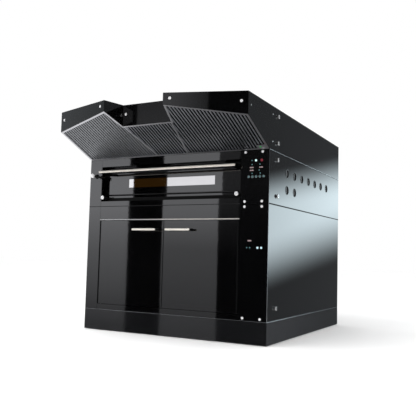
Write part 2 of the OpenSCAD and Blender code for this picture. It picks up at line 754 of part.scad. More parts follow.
module oven_door() color(gloss_black) difference() {
  union() {
    yz_plate(oven_door_x0, oven_door_w) door_side();
    for (x = arm_xs) yz_plate(x, arm_w) arm_side();
    bar_x(x_stile - pivot_boss_l, y_pivot, z_pivot, pivot_r, bay_w + 2 * pivot_boss_l);
  }
  box([window_x0, y_oven_door - eps, window_z0], [window_x1, y_door_back + eps, window_z1]);
  for (y = [y_oven_door - eps, y_door_back - rebate_d])
    box([window_x0 - rebate, y, window_z0 - rebate],
      [window_x1 + rebate, y + rebate_d + eps, window_z1 + rebate]);
  for (x = arm_xs) bar_x(x - eps, y_bar, z_bar, bar_r + panel_gap / 3, arm_w + 2 * eps);
  // Hollow over the window and on both its sides
  box([oven_door_x0 + sheet, y_oven_door + head_lean + sheet, window_z1 + rebate + sheet],
    [oven_door_x0 + oven_door_w - sheet, y_door_back - sheet, oven_door_top - sheet]);
  hollow_w = window_x0 - rebate - oven_door_x0 - 2 * sheet;
  for (x = [oven_door_x0 + sheet, window_x1 + rebate + sheet])
    box([x, y_oven_door + sheet, z_pivot + oven_edge_r],
      [x + hollow_w, y_door_back - sheet, oven_door_top - door_head_h]);
  for (x = [oven_door_x0 + drain_inset, oven_door_x0 + oven_door_w - drain_inset])
    translate([x, y_pivot, z_pivot - oven_edge_r - eps])
      cylinder(r = drain_r, h = 2 * (oven_edge_r + eps));
}
module oven_window() color([0.35, 0.25, 0.15, 0.5]) for (y = [y_oven_door, y_door_back - glass_t])
  box([window_x0 - rebate + panel_gap, y, window_z0 - rebate + panel_gap],
    [window_x1 + rebate - panel_gap, y + glass_t, window_z1 + rebate - panel_gap]);
bar_chamfer = 2;
module oven_handle_bar() color(warm_steel) {
  bar_x(bar_x0 + bar_chamfer, y_bar, z_bar, bar_r, bar_l - 2 * bar_chamfer);
  translate([bar_x0, y_bar, z_bar]) rotate([0, 90, 0])
    cylinder(r1 = bar_r - bar_chamfer, r2 = bar_r, h = bar_chamfer);
  translate([bar_x0 + bar_l - bar_chamfer, y_bar, z_bar]) rotate([0, 90, 0])
    cylinder(r1 = bar_r, r2 = bar_r - bar_chamfer, h = bar_chamfer);
}

// Baking chamber: liner, insulation, slabs on moulded runners, elements and lamp
element_xs = [for (i = [0:element_count - 1]) x_chamber + (i - (element_count - 1) / 2) * element_gap];
element_tail = 22;
element_y = wool_back_y + element_tail;
element_zs = [z_chamber_floor + element_r + 3, z_chamber_top - element_r - 6];
lamp_y = y_chamber + chamber_l - 160;
lamp_z = z_chamber_top - 42;
lamp_tube_r = 20;
y_chamber_back = y_chamber + chamber_l;
module element_holes(y, t) for (x = element_xs, leg = [-1, 1], z = element_zs)
  bar_y(x + leg * element_pitch / 2, y - eps, z, element_r + panel_gap, t + 2 * eps);
module chamber_liner() color(steel) difference() {
  box([mouth_x0 - liner_t, y_chamber, z_chamber_floor - liner_t],
    [mouth_x1 + liner_t, y_chamber_back + liner_t, z_chamber_top + liner_t]);
  box([mouth_x0, y_chamber - eps, z_chamber_floor], [mouth_x1, y_chamber_back, z_chamber_top]);
  element_holes(y_chamber_back, liner_t);
  bar_x(mouth_x1 - eps, lamp_y, lamp_z, lamp_tube_r + panel_gap, liner_t + 2 * eps);
  flue_hole(mouth_x0 - 2 * liner_t, mouth_x0 + eps);
}
module flue_hole(x0, x1)
  box([x0, y_shutter - flue_w / 2, z_flue - flue_h / 2],
    [x1, y_shutter + flue_w / 2, z_flue + flue_h / 2]);
// Insulation, with a guide for the shutter above and below the flue
shutter_x = x_chamber - wool_out_x - panel_gap;
guide_t = 5;
guide_rise = shutter_h / 2 + panel_gap + guide_t / 2;
module shutter_guide(z)
  box([shutter_x - shutter_t - 3, y_shutter - damper_travel - shutter_w / 2 - guide_t, z - guide_t / 2],
    [x_chamber - wool_out_x + eps, y_shutter + shutter_w / 2 + guide_t, z + guide_t / 2]);
module chamber_insulation() color([0.75, 0.72, 0.62]) difference() {
  union() {
    box([x_chamber - wool_out_x, y_chamber, wool_low_z],
      [x_chamber + wool_out_x, wool_back_y, wool_top_z]);
    for (s = [-1, 1]) shutter_guide(z_flue + s * guide_rise);
  }
  box([x_chamber - wool_x, y_chamber - eps, z_chamber_floor - liner_t - panel_gap],
    [x_chamber + wool_x, wool_back_y - wool_t, z_chamber_top + liner_t + panel_gap]);
  element_holes(wool_back_y - wool_t, wool_t);
  bar_x(mouth_x1, lamp_y, lamp_z, lamp_tube_r + panel_gap, wool_t + 3 * liner_t);
  flue_hole(x_chamber - wool_out_x - eps, x_chamber - wool_x + eps);
}
slab_gap = 1;
slab_w = (chamber_w - 2 * slab_gap) / slab_count;
// A slab carries a runner wherever it lies over the space between two elements
slab_runner_w = 60;
module stone_slabs() color([0.72, 0.62, 0.50]) for (i = [0:slab_count - 1]) {
  x0 = mouth_x0 + slab_gap + i * slab_w + slab_gap / 2;
  x1 = x0 + slab_w - slab_gap;
  box([x0, y_chamber + slab_gap, z_stone - slab_t], [x1, y_chamber_back - slab_gap, z_stone]);
  for (k = [0:element_count]) {
    near = max(x0, mouth_x0 + k * element_gap - slab_runner_w / 2);
    far = min(x1, mouth_x0 + k * element_gap + slab_runner_w / 2);
    if (far > near) box([near, y_chamber + slab_gap, z_chamber_floor + panel_gap],
      [far, y_chamber_back - slab_gap, z_stone - slab_t + eps]);
  }
}
module heating_elements() color(matt_black) for (x = element_xs, z = element_zs)
  hairpin(x, element_y, z, element_l, element_pitch);
lamp_tube_l = wool_t + 14;
lamp_rim_r = lamp_tube_r + 8;
module chamber_lamp() color([0.95, 0.85, 0.6])
  translate([mouth_x1 - panel_gap / 3, lamp_y, lamp_z]) rotate([0, -90, 0]) rotate_extrude()
    polygon([[0, -lamp_tube_l], [lamp_tube_r, -lamp_tube_l], [lamp_tube_r, 0], [lamp_rim_r, 0],
      [lamp_rim_r, 4], [lamp_tube_r, 6], [lamp_tube_r * 0.7, 14], [0, 16]]);

// Control panels with their key guides, displays, lamps and keys
module control_plate(z, h) box([x_control + panel_gap / 2, y_control, z + panel_gap],
  [x_side, y_control + control_t, z + h - 2 * panel_gap]);
module key_hole(x, z) bar_y(x, y_control - eps, z, key_r + key_play, control_t + 2 * eps);
key_bore_l = key_cap_in + key_travel + panel_gap;
module key_guide(x, z) difference() {
  bar_y(x, y_control + control_t / 2, z, key_r + 4, key_guide_l + control_t / 2);
  bar_y(x, y_control, z, key_r + key_play, key_bore_l);
  bar_y(x, y_control, z, key_stem_r + key_play, key_guide_l + control_t + eps);
}
function program_key_x(i) = key_row_x + (i - 3) * key_pitch;
upper_keys = concat([[power_key_x, power_key_z]], [for (i = [1:5]) [program_key_x(i), key_row_z]]);
lower_keys = [for (i = [0:1]) [cabinet_key_x + i * key_pitch, cabinet_key_z]];
module display_hole(x, z) translate([x - display_w / 2, y_control - eps, z - display_h / 2])
  cube([display_w, control_t + 2 * eps, display_h]);
module control_panel(z, h, keys, displays, lamps) color(gloss_black) {
  difference() {
    control_plate(z, h);
    for (k = keys) key_hole(k[0], k[1]);
    for (d = displays) display_hole(control_x + d[0], z + d[1]);
    for (l = lamps) bar_y(control_x + l[0], y_control - eps, z + l[1], l[2], control_t + 2 * eps);
  }
  for (k = keys) key_guide(k[0], k[1]);
}
module upper_control_panel()
  control_panel(z_deck, deck_h, upper_keys, upper_displays, upper_lamps);
module lower_control_panel()
  control_panel(z_cabinet, cabinet_h, lower_keys, lower_displays, lower_lamps);
pane_sink = 0.2;
module display_pane(x, z)
  translate([x - display_w / 2 + panel_gap, y_control + pane_sink, z - display_h / 2 + panel_gap])
    cube([display_w - 2 * panel_gap, control_t, display_h - 2 * panel_gap]);
module display_windows() color([0.9, 0.35, 0.35]) {
  for (d = upper_displays) display_pane(control_x + d[0], z_deck + d[1]);
  for (d = lower_displays) display_pane(control_x + d[0], z_cabinet + d[1]);
}
lamp_proud = 0.8;
module lamp(x, z, r) bar_y(x, y_control - lamp_proud, z, r - panel_gap, control_t + lamp_proud);
module indicator_lamps() color([0.45, 0.75, 0.75]) {
  for (l = upper_lamps) lamp(control_x + l[0], z_deck + l[1], l[2]);
  for (l = lower_lamps) lamp(control_x + l[0], z_cabinet + l[1], l[2]);
}
// A push key: domed cap, shoulder and stem, out of its panel by key_proud
module key(p) facing([p[0], y_control - key_proud, p[1]]) rotate([180, 0, 0]) rotate_extrude()
  polygon([[0, 0], [key_r - 1.5, 0.2], [key_r, 1.2], [key_r, key_proud + key_cap_in],
    [key_stem_r, key_proud + key_cap_in], [key_stem_r, key_stem_l], [0, key_stem_l]]);
module power_key() color([0.8, 0.95, 0.95]) key(upper_keys[0]);
module program_key_1() color([0.35, 0.55, 0.58]) key(upper_keys[1]);
module program_key_2() color([0.35, 0.55, 0.58]) key(upper_keys[2]);
module program_key_3() color([0.35, 0.55, 0.58]) key(upper_keys[3]);
module program_key_4() color([0.35, 0.55, 0.58]) key(upper_keys[4]);
module program_key_5() color([0.35, 0.55, 0.58]) key(upper_keys[5]);
module cabinet_key_1() color([0.75, 0.9, 0.92]) key(lower_keys[0]);
module cabinet_key_2() color([0.75, 0.9, 0.92]) key(lower_keys[1]);

// Switchgear on a bent plate that stands on the deck's tray
gear_x = (x_chamber + wool_out_x + x_side) / 2;
gear_y = y_front + gear_setback;
gear_z = z_deck + sheet + panel_gap;
module switchgear() color([0.55, 0.57, 0.58]) {
  box([gear_x, gear_y, gear_z], [gear_x + sheet, gear_y + gear_l, gear_z + gear_h]);
  box([gear_x, gear_y, gear_z], [gear_x + gear_foot, gear_y + gear_l, gear_z + sheet]);
  for (z = [terminal_z + terminal_h / 2, relay_z + relay_h / 2])
    translate([gear_x + sheet / 2, gear_y, gear_z + z - din_h / 2])
      box([0, din_inset, 0], [sheet / 2 + din_t, gear_l - din_inset, din_h]);
  translate([gear_x + sheet, gear_y + gear_inset, gear_z]) {
    for (i = [0:4]) translate([0, i * relay_pitch, relay_z]) cube([relay_d, relay_w, relay_h]);
    for (i = [0:11]) translate([0, i * terminal_pitch, terminal_z])
      cube([terminal_d, terminal_w, terminal_h]);
  }
}

// Damper: knob and tapered neck on a rod that carries the shutter
neck_root_r = rod_r + 2;
neck_l = knob_reach - 3;
rod_l = y_shutter + shutter_w / 2 - y_front + knob_reach / 2;
module damper_pull() color(bright) {
  translate([x_damper, y_front - knob_reach, z_damper]) rotate([-90, 0, 0])
    rotate_extrude() difference() {
      union() {
        circle(knob_r);
        polygon([[0, 0], [neck_root_r, 0], [neck_root_r, knob_r + 3], [neck_r, neck_l - 3],
          [neck_r - 2, neck_l], [0, neck_l]]);
      }
      translate([-3 * knob_r, -knob_reach]) square([3 * knob_r, 3 * knob_reach]);
    }
  bar_y(x_damper, y_front - knob_reach / 2, z_damper, rod_r, rod_l);
  box([x_damper, y_shutter - rod_r, z_damper - rod_r],
    [shutter_x - shutter_t / 2, y_shutter + rod_r, z_damper + rod_r]);
  box([shutter_x - shutter_t, y_shutter - shutter_w / 2, z_flue - shutter_h / 2],
    [shutter_x, y_shutter + shutter_w / 2, z_flue + shutter_h / 2]);
}

// Hood: two side pans, a canopy with its rear and floor, and three fascias cut off by the filter plane
hood_side_y = y_front - reach_out + sheet + panel_gap;
hood_side_top = z_top - sheet - panel_gap;
hood_side_rear = y_rear - sheet - panel_gap;
hood_side_profile = [[y_front, z_hood], [hood_side_rear, z_hood], [hood_side_rear, hood_side_top],
  [hood_side_y, hood_side_top], [hood_side_y, z_hood + (y_front - hood_side_y) * filter_slope]];
hood_flange_y = y_front + 12;
hood_floor_y = y_front + 40;
module hood_side() color(gloss_black) difference() {
  yz_plate(x_side - flange, flange) polygon(hood_side_profile);
  yz_plate(x_side - flange - eps, flange + eps - sheet) polygon(inset(hood_side_profile, sheet));
  box([x_side - flange - eps, y_front - reach_in, z_hood - eps], [x_side - sheet, hood_flange_y, z_top]);
}
module hood_right_side() hood_side();
module hood_left_side() mirror([1, 0, 0]) hood_side();
module hood_canopy() color(gloss_black) difference() {
  union() {
    translate([0, 0, z_top - sheet]) linear_extrude(sheet) polygon(hood_plan);
    box([-x_side, y_rear - sheet, z_hood], [x_side, y_rear, z_top - sheet / 2]);
    box([-tray_x, hood_floor_y, z_hood], [tray_x, y_rear - sheet / 2, z_hood + sheet]);
  }
  translate([duct_x, duct_y, z_top - 2 * sheet])
    cylinder(r = duct_r - duct_wall - 4, h = 3 * sheet);
}
// What lies under the filter plane, to be cut away
module under_slope(lift = 0) translate([0, y_front, z_hood + lift]) rotate([-slope_a, 0, 0])
  box([-x_side - 100, -2 * reach_in, -2 * reach_in], [x_side + 100, reach_in, 0]);
module fascia(line) color(gloss_black) difference() {
  translate([0, 0, z_hood]) linear_extrude(hood_h - sheet - panel_gap)
    polygon(concat(line, reversed(shifted_line(line, sheet))));
  under_slope();
}
corner_gap = panel_gap / 2;
left_wing_line = [[-x_side + panel_gap, y_front - reach_out], [-x_side + wing_w, y_front - reach_in],
  [-x_side + notch_w - corner_gap, y_front - reach_out - corner_gap]];
module left_wing_fascia() fascia(left_wing_line);
module right_wing_fascia() fascia(mirrored(left_wing_line));
centre_x = x_side - notch_w - panel_gap;
module centre_fascia() fascia([[-centre_x, y_front - reach_out], [centre_x, y_front - reach_out]]);

// Filters: rails round three openings in the filter plane, and slatted baffles lying on them
module on_slope() translate([0, y_front, z_hood]) rotate([-slope_a, 0, 0]) children();
function along(s) = -s / cos(slope_a);
rail_out = sheet + panel_gap;
area_front = [[-x_side, along(reach_out)], [-x_side + wing_w, along(reach_in)],
  [-x_side + notch_w, along(reach_out)], [x_side - notch_w, along(reach_out)],
  [x_side - wing_w, along(reach_in)], [x_side, along(reach_out)]];
rail_area = inset(concat([[x_side, 0], [-x_side, 0]], area_front), rail_out);
divider_foot = x_side - divider_w;
divider_head = x_side - notch_w;
divider_t = 9;
// The plate at the right foot that carries the switch
switch_x = x_side - 56;
switch_s = 30;
switch_plate_w = 24;
switch_plate_l = switch_s + 20;
// A rail between two filters, leaning outwards from its foot; side is -1 for the left one
divider_s = reach_out - rail_out;
module divider(side) polygon([
  [side * divider_foot - divider_t / 2, along(rail_out)],
  [side * divider_head - divider_t / 2, along(divider_s)],
  [side * divider_head + divider_t / 2, along(divider_s)],
  [side * divider_foot + divider_t / 2, along(rail_out)]]);
module switch_area(g) polygon([[switch_x - switch_plate_w - g, along(rail_out)],
  [switch_x - switch_plate_w - g, along(switch_plate_l + g)],
  [x_side - rail_out, along(switch_plate_l + g)], [x_side - rail_out, along(rail_out)]]);
module filter_rails() color(steel) on_slope() difference() {
  translate([0, 0, -rail_drop]) linear_extrude(rail_t) {
    difference() {
      polygon(rail_area);
      polygon(inset(rail_area, rail_w));
    }
    divider(-1);
    divider(1);
    switch_area(0);
  }
  translate([switch_x, along(switch_s), -rail_drop - eps])
    cylinder(r = key_r + key_play, h = rail_t + 2 * eps);
}
filter_z = rail_t - rail_drop + panel_gap;
slat_top = 1.35 * slat_h;
upper_slat_w = slat_pitch - slat_w + 6;
upper_slat_foot = slat_h * 0.55;
frame_w = 6;
// One row of slats over a width, lower troughs open upwards and upper troughs open downwards
module slat(x, w, z0, z1) translate([x - w / 2, 0]) {
  translate([0, z0]) square([w, slat_t]);
  for (leg = [0, w - slat_t]) translate([leg, min(z0, z1)]) square([slat_t, abs(z1 - z0)]);
}
module slat_section(x0, x1) {
  for (x = [x0 + slat_pitch / 2:slat_pitch:x1]) {
    slat(x, slat_w, 0, slat_h);
    slat(x + slat_pitch / 2, upper_slat_w, slat_top, upper_slat_foot);
  }
}
module baffle(plan) color(steel) on_slope() translate([0, 0, filter_z]) {
  ring = inset(plan, frame_w);
  xs = [for (q = plan) q[0]];
  difference() {
    linear_extrude(slat_top + slat_t) polygon(plan);
    translate([0, 0, -eps]) linear_extrude(slat_top + slat_t + 2 * eps) polygon(ring);
  }
  intersection() {
    linear_extrude(slat_top + slat_t) polygon(inset(plan, frame_w / 2));
    translate([0, eps, 0]) rotate([90, 0, 0]) linear_extrude(-along(reach_in) + eps)
      slat_section(min(xs) + frame_w, max(xs) - frame_w / 2);
  }
}
side_filter_plan = inset([[-divider_foot, 0], [-x_side, 0], area_front[0], area_front[1],
  area_front[2]], rail_out + panel_gap);
centre_filter_plan = inset([[divider_foot, 0], [-divider_foot, 0], area_front[2], area_front[3]],
  rail_out + panel_gap);
module left_filter() baffle(side_filter_plan);
module right_filter() difference() {
  baffle(mirrored(side_filter_plan));
  on_slope() translate([0, 0, filter_z - eps]) linear_extrude(4 * slat_h) switch_area(2);
}
module centre_filter() baffle(centre_filter_plan);
// Lighted push switch in the plate at the filters' right foot
switch_l = 9;
module hood_switch() color([0.2, 0.75, 0.3]) on_slope()
  translate([switch_x, along(switch_s), -rail_drop - key_proud]) rotate_extrude()
    polygon([[0, 0], [key_r - 1.5, 0.2], [key_r, 1.2], [key_r, switch_l], [0, switch_l]]);

// Extractor: spiral housing, wheel on its shaft, motor on a bracket and the outlet collar
duct_wall = 1.5;
scroll_end = scroll_r + scroll_grow;
fan_x0 = -scroll_end / 2;
duct_x = 0;
duct_y = fan_y;
outlet_h = z_top - sheet - panel_gap - fan_z;
// The scroll's outline, grown by extra and going on upwards as the outlet by rise
function spiral_r(a) = scroll_r + scroll_grow * (a - 90) / 270;
function spiral(extra, rise) = concat([[-extra, scroll_r + extra]],
  [for (a = [99:9:360]) (spiral_r(a) + extra) * [cos(a), sin(a)]],
  [[scroll_end + extra, outlet_h + rise], [-extra, outlet_h + rise]]);
inlet_r = wheel_r * 0.78;
shaft_hole_r = shaft_r + 6;
y_housing = fan_y - housing_l / 2;
y_housing_back = fan_y + housing_l / 2;
z_fan_floor = z_hood + sheet + panel_gap;
pedestal_w = 80;
pedestal_l = 60;
module fan_housing() color(steel) difference() {
  union() {
    translate([fan_x0, 0, fan_z]) xz_plate(y_housing, housing_l) polygon(spiral(housing_t, 0));
    box([duct_x - duct_r, duct_y - duct_r, fan_z + outlet_h - sheet],
      [duct_x + duct_r, duct_y + duct_r, fan_z + outlet_h]);
    box([fan_x0 - pedestal_w / 2, fan_y - pedestal_l / 2, z_fan_floor],
      [fan_x0 + pedestal_w / 2, fan_y + pedestal_l / 2, fan_z - scroll_r - scroll_grow / 2]);
  }
  translate([fan_x0, 0, fan_z]) xz_plate(y_housing + housing_t, housing_l - 2 * housing_t)
    polygon(spiral(0, eps));
  bar_y(fan_x0, y_housing - eps, fan_z, inlet_r, housing_t + 2 * eps);
  bar_y(fan_x0, y_housing_back - housing_t - eps, fan_z, shaft_hole_r, housing_t + 2 * eps);
}
// Motor: ribbed body and end cap on a bracket, with a bore for the wheel's shaft
motor_y = y_housing_back + panel_gap;
shaft_in = 45;
motor_cap_l = 14;
bracket_w = 90;
bracket_inset = 20;
rib_low_r = motor_r - 2;
rib_high_r = motor_r + 5;
module fan_motor() color([0.35, 0.37, 0.38]) difference() {
  union() {
    bar_y(fan_x0, motor_y, fan_z, motor_r, motor_l);
    bar_y(fan_x0, motor_y + motor_l, fan_z, motor_r * 0.85, motor_cap_l);
    box([fan_x0 - bracket_w / 2, motor_y + bracket_inset, z_fan_floor],
      [fan_x0 + bracket_w / 2, motor_y + motor_l - bracket_inset, fan_z - motor_r * 0.7]);
    for (a = [0:20:340]) translate([fan_x0, motor_y + motor_cap_l, fan_z]) rotate([0, a, 0])
      box([rib_low_r, 0, -1], [rib_high_r, motor_l - 2 * motor_cap_l, 1]);
  }
  bar_y(fan_x0, motor_y - eps, fan_z, shaft_r + pin_play, shaft_in + eps);
}
// Wheel: inlet ring, back plate with its hub and shaft, and blades between them
wheel_y = fan_y - wheel_l / 2;
ring_t = 3;
ring_hole_r = wheel_r * 0.76;
plate_t = 2;
hub_r = 18;
hub_l = 24;
wheel_shaft_l = motor_y - wheel_y - (wheel_l - hub_l) + shaft_in - 3;
blade_mid_r = wheel_r * 0.88;
blade_w = wheel_r * 0.2;
blade_t = 1.2;
blade_a = 35;
module fan_wheel() color(steel) translate([fan_x0, wheel_y, fan_z]) rotate([-90, 0, 0]) {
  difference() {
    cylinder(r = wheel_r, h = ring_t);
    translate([0, 0, -eps]) cylinder(r = ring_hole_r, h = ring_t + 2 * eps);
  }
  translate([0, 0, wheel_l - plate_t]) cylinder(r = wheel_r, h = plate_t);
  translate([0, 0, wheel_l - hub_l]) cylinder(r = hub_r, h = hub_l);
  translate([0, 0, wheel_l - hub_l]) cylinder(r = shaft_r, h = wheel_shaft_l);
  for (i = [0:blade_count - 1]) rotate([0, 0, i * 360 / blade_count])
    translate([blade_mid_r, 0, 1]) rotate([0, 0, blade_a])
      translate([-blade_w / 2, -blade_t / 2, 0]) cube([blade_w, blade_t, wheel_l - 2]);
}
collar_flange = 22;
module outlet_collar() color(steel) translate([duct_x, duct_y, z_top]) difference() {
  union() {
    cylinder(r = duct_r, h = duct_h);
    cylinder(r = duct_r + collar_flange, h = sheet);
  }
  translate([0, 0, -eps]) cylinder(r = duct_r - duct_wall, h = duct_h + 2 * eps);
}

// Fasteners: caps of the cover screws and the large cap nuts
cap_lift = panel_gap / 6;
cap_h = 3.4;
module screw_cap(r) rotate_extrude($fn = 24) polygon([[0, cap_lift], [r, cap_lift], [r, 1],
  [r * 0.82, 2.6], [r * 0.3, cap_h], [0, cap_h]]);
wing_a = atan((reach_in - reach_out) / wing_w);
wing_l = norm([wing_w, reach_in - reach_out]);
// A place on the left wing, s along it from its outer end and half way up its face
function wing_point(s) = [-x_side + s * cos(wing_a), y_front - reach_out - s * sin(wing_a),
  mid_fascia(reach_out + s * sin(wing_a))];
function mid_fascia(reach) = z_top * 0.55 + (z_hood + reach * filter_slope) * 0.45;
small_screw_r = screw_r * 0.55;
deck_screw_inset = 15;
control_screw_xs = [control_x - 74, control_x + 56];
control_screw_zs = [z_deck + deck_screw_inset, z_hood - deck_screw_inset, z_cabinet + 18,
  z_deck - 21];
hood_nut_rise = 62;
hood_nut_drop = 57;
side_screw_setback = 50;
wing_screw_reach = 325;
wing_screw_drop = 80;
hood_side_screws = [[y_front + side_screw_setback, z_hood + hood_nut_rise],
  [y_front + side_screw_setback, z_top - hood_nut_drop],
  [y_front - wing_screw_reach, z_top - wing_screw_drop]];
module cover_screws() color(bright) {
  for (x = control_screw_xs, z = control_screw_zs) facing([x, y_control, z]) screw_cap(screw_r);
  both_sides() {
    for (s = [44, wing_l - 46]) facing(wing_point(s), -wing_a) screw_cap(screw_r);
    facing([-centre_x + 22, y_front - reach_out, mid_fascia(reach_out)]) screw_cap(screw_r);
    for (p = hood_side_screws) facing([x_side, p[0], p[1]], 90) screw_cap(small_screw_r);
  }
}
cap_neck_r = cap_r * 0.62;
socket_r = cap_r * 0.38;
side_nut_setback = 145;
cabinet_nut_rise = 86;
deck_nut_rise = 61;
deck_nut_drop = 57;
side_nut_y = y_front + side_nut_setback;
side_nut_zs = [z_cabinet + cabinet_nut_rise, z_deck + deck_nut_rise, z_hood - deck_nut_drop,
  z_hood + hood_nut_rise, z_top - hood_nut_drop];
module cap_nut() rotate_extrude($fn = 32) polygon([[0, cap_lift], [cap_neck_r, cap_lift],
  [cap_neck_r, 5], [cap_r, 6], [cap_r, 11], [cap_r * 0.8, 14], [socket_r, 14], [socket_r, 9], [0, 9]]);
module rest_cap() rotate_extrude($fn = 32) polygon([[0, cap_lift], [cap_r, cap_lift], [cap_r, 4],
  [cap_r * 0.85, 6], [socket_r, 6], [socket_r, 3], [0, 3]]);
module cap_nuts() color(bright) {
  both_sides() for (z = side_nut_zs) facing([x_side, side_nut_y, z], 90) cap_nut();
  for (x = rest_xs) facing([x, y_rest_end, z_rest]) rest_cap();
}

plinth_skirt();
base_frame();
levelling_feet();
cabinet_left_side();
cabinet_right_side();
cabinet_rear_panel();
cabinet_front_frame();
drip_strip();
cabinet_liner();
tray_racks();
cabinet_heater();
lower_control_panel();
deck_left_side();
deck_right_side();
deck_rear_panel();
deck_front_frame();
door_rests();
chamber_liner();
chamber_insulation();
stone_slabs();
heating_elements();
chamber_lamp();
upper_control_panel();
display_windows();
indicator_lamps();
switchgear();
cable_glands();
hood_left_side();
hood_right_side();
hood_canopy();
left_wing_fascia();
right_wing_fascia();
centre_fascia();
filter_rails();
left_filter();
centre_filter();
right_filter();
fan_housing();
fan_motor();
outlet_collar();
cover_screws();
cap_nuts();
fan_wheel();
oven_door();
oven_window();
oven_handle_bar();
left_door();
left_door_handle();
right_door();
right_door_handle();
damper_pull();
hood_switch();
power_key();
program_key_1();
program_key_2();
program_key_3();
program_key_4();
program_key_5();
cabinet_key_1();
cabinet_key_2();
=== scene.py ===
"""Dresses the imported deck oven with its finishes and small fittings, and sets up its studio."""

from __future__ import annotations

import logging
import math
from collections.abc import Callable
from dataclasses import dataclass, replace
from enum import Enum
from functools import cache

import bmesh
import bpy
from mathutils import Matrix, Vector


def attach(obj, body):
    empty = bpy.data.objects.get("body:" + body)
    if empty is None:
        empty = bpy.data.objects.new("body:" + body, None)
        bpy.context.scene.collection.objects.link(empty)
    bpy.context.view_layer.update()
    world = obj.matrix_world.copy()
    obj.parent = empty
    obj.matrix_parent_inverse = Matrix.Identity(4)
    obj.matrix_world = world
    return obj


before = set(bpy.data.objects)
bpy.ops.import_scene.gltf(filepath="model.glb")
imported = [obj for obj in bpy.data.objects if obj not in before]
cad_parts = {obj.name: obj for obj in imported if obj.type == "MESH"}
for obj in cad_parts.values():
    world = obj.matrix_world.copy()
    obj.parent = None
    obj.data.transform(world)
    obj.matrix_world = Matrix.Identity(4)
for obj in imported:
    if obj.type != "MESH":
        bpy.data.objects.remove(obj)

log = logging.getLogger("deck_oven")

Colour = tuple[float, float, float]
Point = tuple[float, float, float]
Piece = bpy.types.Object
Socket = bpy.types.NodeSocket
Feeds = dict[str, Socket | float]
Box = tuple[Point, Point]

NODES: dict[str, Piece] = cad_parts

# Main planes of the oven: its sides, front and rear, and the seam between deck and hood
SIDE_X = 0.775
FRONT_Y = -0.593
REAR_Y = 1.107
DECK_TOP = 1.340

SIDES = ((-1, "left"), (1, "right"))
RIGHTWARD = (1.0, 0.0, 0.0)
FORWARD = (0.0, -1.0, 0.0)
REARWARD = (0.0, 1.0, 0.0)
UPWARD = (0.0, 0.0, 1.0)
DOWNWARD = (0.0, 0.0, -1.0)

# Nearly all values of a noise texture lie between these two
NOISE_LOW = 0.3
NOISE_HIGH = 0.7
# Two places nearer than this count as one
NEAR = 0.001
# Edges that turn by less are shaded smooth
SMOOTH_BELOW = math.radians(35.0)
# The studio's cards reach down to here
CARD_FOOT = -2.0


class Axis(Enum):
    """A direction of the object's frame."""

    X = 0
    Y = 1
    Z = 2


@dataclass(frozen=True)
class Graph:
    """The node tree of a material or of the world, and what is added to it."""

    tree: bpy.types.NodeTree

    def feed(self, entry: Socket, value: object) -> None:
        """Links an input to another node's output, or sets its value.

        Args:
            entry: The input.
            value: An output, a number or a vector.
        """
        if isinstance(value, Socket):
            self.tree.links.new(value, entry)
        else:
            entry.default_value = value

    def add(self, kind: str, **values: object) -> bpy.types.Node:
        """Adds a shader node.

        Args:
            kind: The node's type name, without its common start.
            **values: Attributes of the node, or what feeds its inputs, by name.

        Returns:
            The new node.
        """
        made = self.tree.nodes.new(f"ShaderNode{kind}")
        for key, value in values.items():
            if hasattr(made, key):
                setattr(made, key, value)
            else:
                self.feed(made.inputs[key.replace("_", " ")], value)
        return made

    def combine(self, operation: str, *values: Socket | float) -> Socket:
        """Adds a math node.

        Args:
            operation: What it does.
            *values: What feeds its inputs, in order.

        Returns:
            The result.
        """
        made = self.add("Math", operation=operation)
        for entry, value in zip(made.inputs, values):
            self.feed(entry, value)
        return made.outputs[0]

    def mix(self, mask: Socket, outside: Socket | float, inside: Colour | float) -> Socket:
        """Mixes two colours or two numbers by a mask."""
        kind, value = ("RGBA", (*inside, 1.0)) if isinstance(inside, tuple) else ("FLOAT", inside)
        return self.add("Mix", data_type=kind, Factor=mask, A=outside, B=value).outputs["Result"]

    def remap(self, source: Socket, start: float, end: float, low: float = 0.0, high: float = 1.0,
              easing: str = "LINEAR") -> Socket:
        """Maps a value from start and end to low and high, and holds it outside them."""
        return self.add("MapRange", interpolation_type=easing, Value=source, From_Min=start, From_Max=end,
                        To_Min=low, To_Max=high).outputs["Result"]

    def ramp(self, source: Socket, stops: list[tuple[float, Colour]], stepped: bool = False) -> Socket:
        """Turns a value into a colour.

        Args:
            source: The value, from 0 to 1.
            stops: Places and colours of the ramp, in order.
            stepped: Whether the colours change in steps.

        Returns:
            The colour.
        """
        made = self.add("ValToRGB", Fac=source)
        band = made.color_ramp
        band.interpolation = "CONSTANT" if stepped else "LINEAR"
        while len(band.elements) < len(stops):
            band.elements.new(0.5)
        for element, (place, colour) in zip(band.elements, stops):
            element.position = place
            element.color = (*colour, 1.0)
        return made.outputs["Color"]

    def place(self, stretch: Point = (1.0, 1.0, 1.0), turn: Point = (0.0, 0.0, 0.0)) -> Socket:
        """Gives the place on the piece in metres, stretched along the axes and turned about them."""
        own = self.add("TexCoord").outputs["Object"]
        return self.add("Mapping", Vector=own, Scale=stretch, Rotation=turn).outputs["Vector"]

    def distance(self, facing: Point) -> Socket:
        """Gives how far the place on the piece lies along a direction.

        Args:
            facing: The direction.

        Returns:
            The distance in metres from the frame's origin.
        """
        made = self.add("VectorMath", operation="DOT_PRODUCT")
        self.feed(made.inputs[0], self.place())
        self.feed(made.inputs[1], facing)
        return made.outputs["Value"]

    def noise(self, scale: float, stretch: Point = (1.0, 1.0, 1.0), detail: float = 3.0) -> Socket:
        """Gives noise with about so many grains for each metre, and so many finer layers."""
        return self.add("TexNoise", Vector=self.place(stretch), Scale=scale, Detail=detail).outputs["Fac"]

    def relief(self, height: Socket, depth: float) -> Socket:
        """Gives the normal of a relief from its height, 0 to 1, and its depth in metres."""
        return self.add("Bump", Strength=1.0, Distance=depth, Height=height).outputs["Normal"]


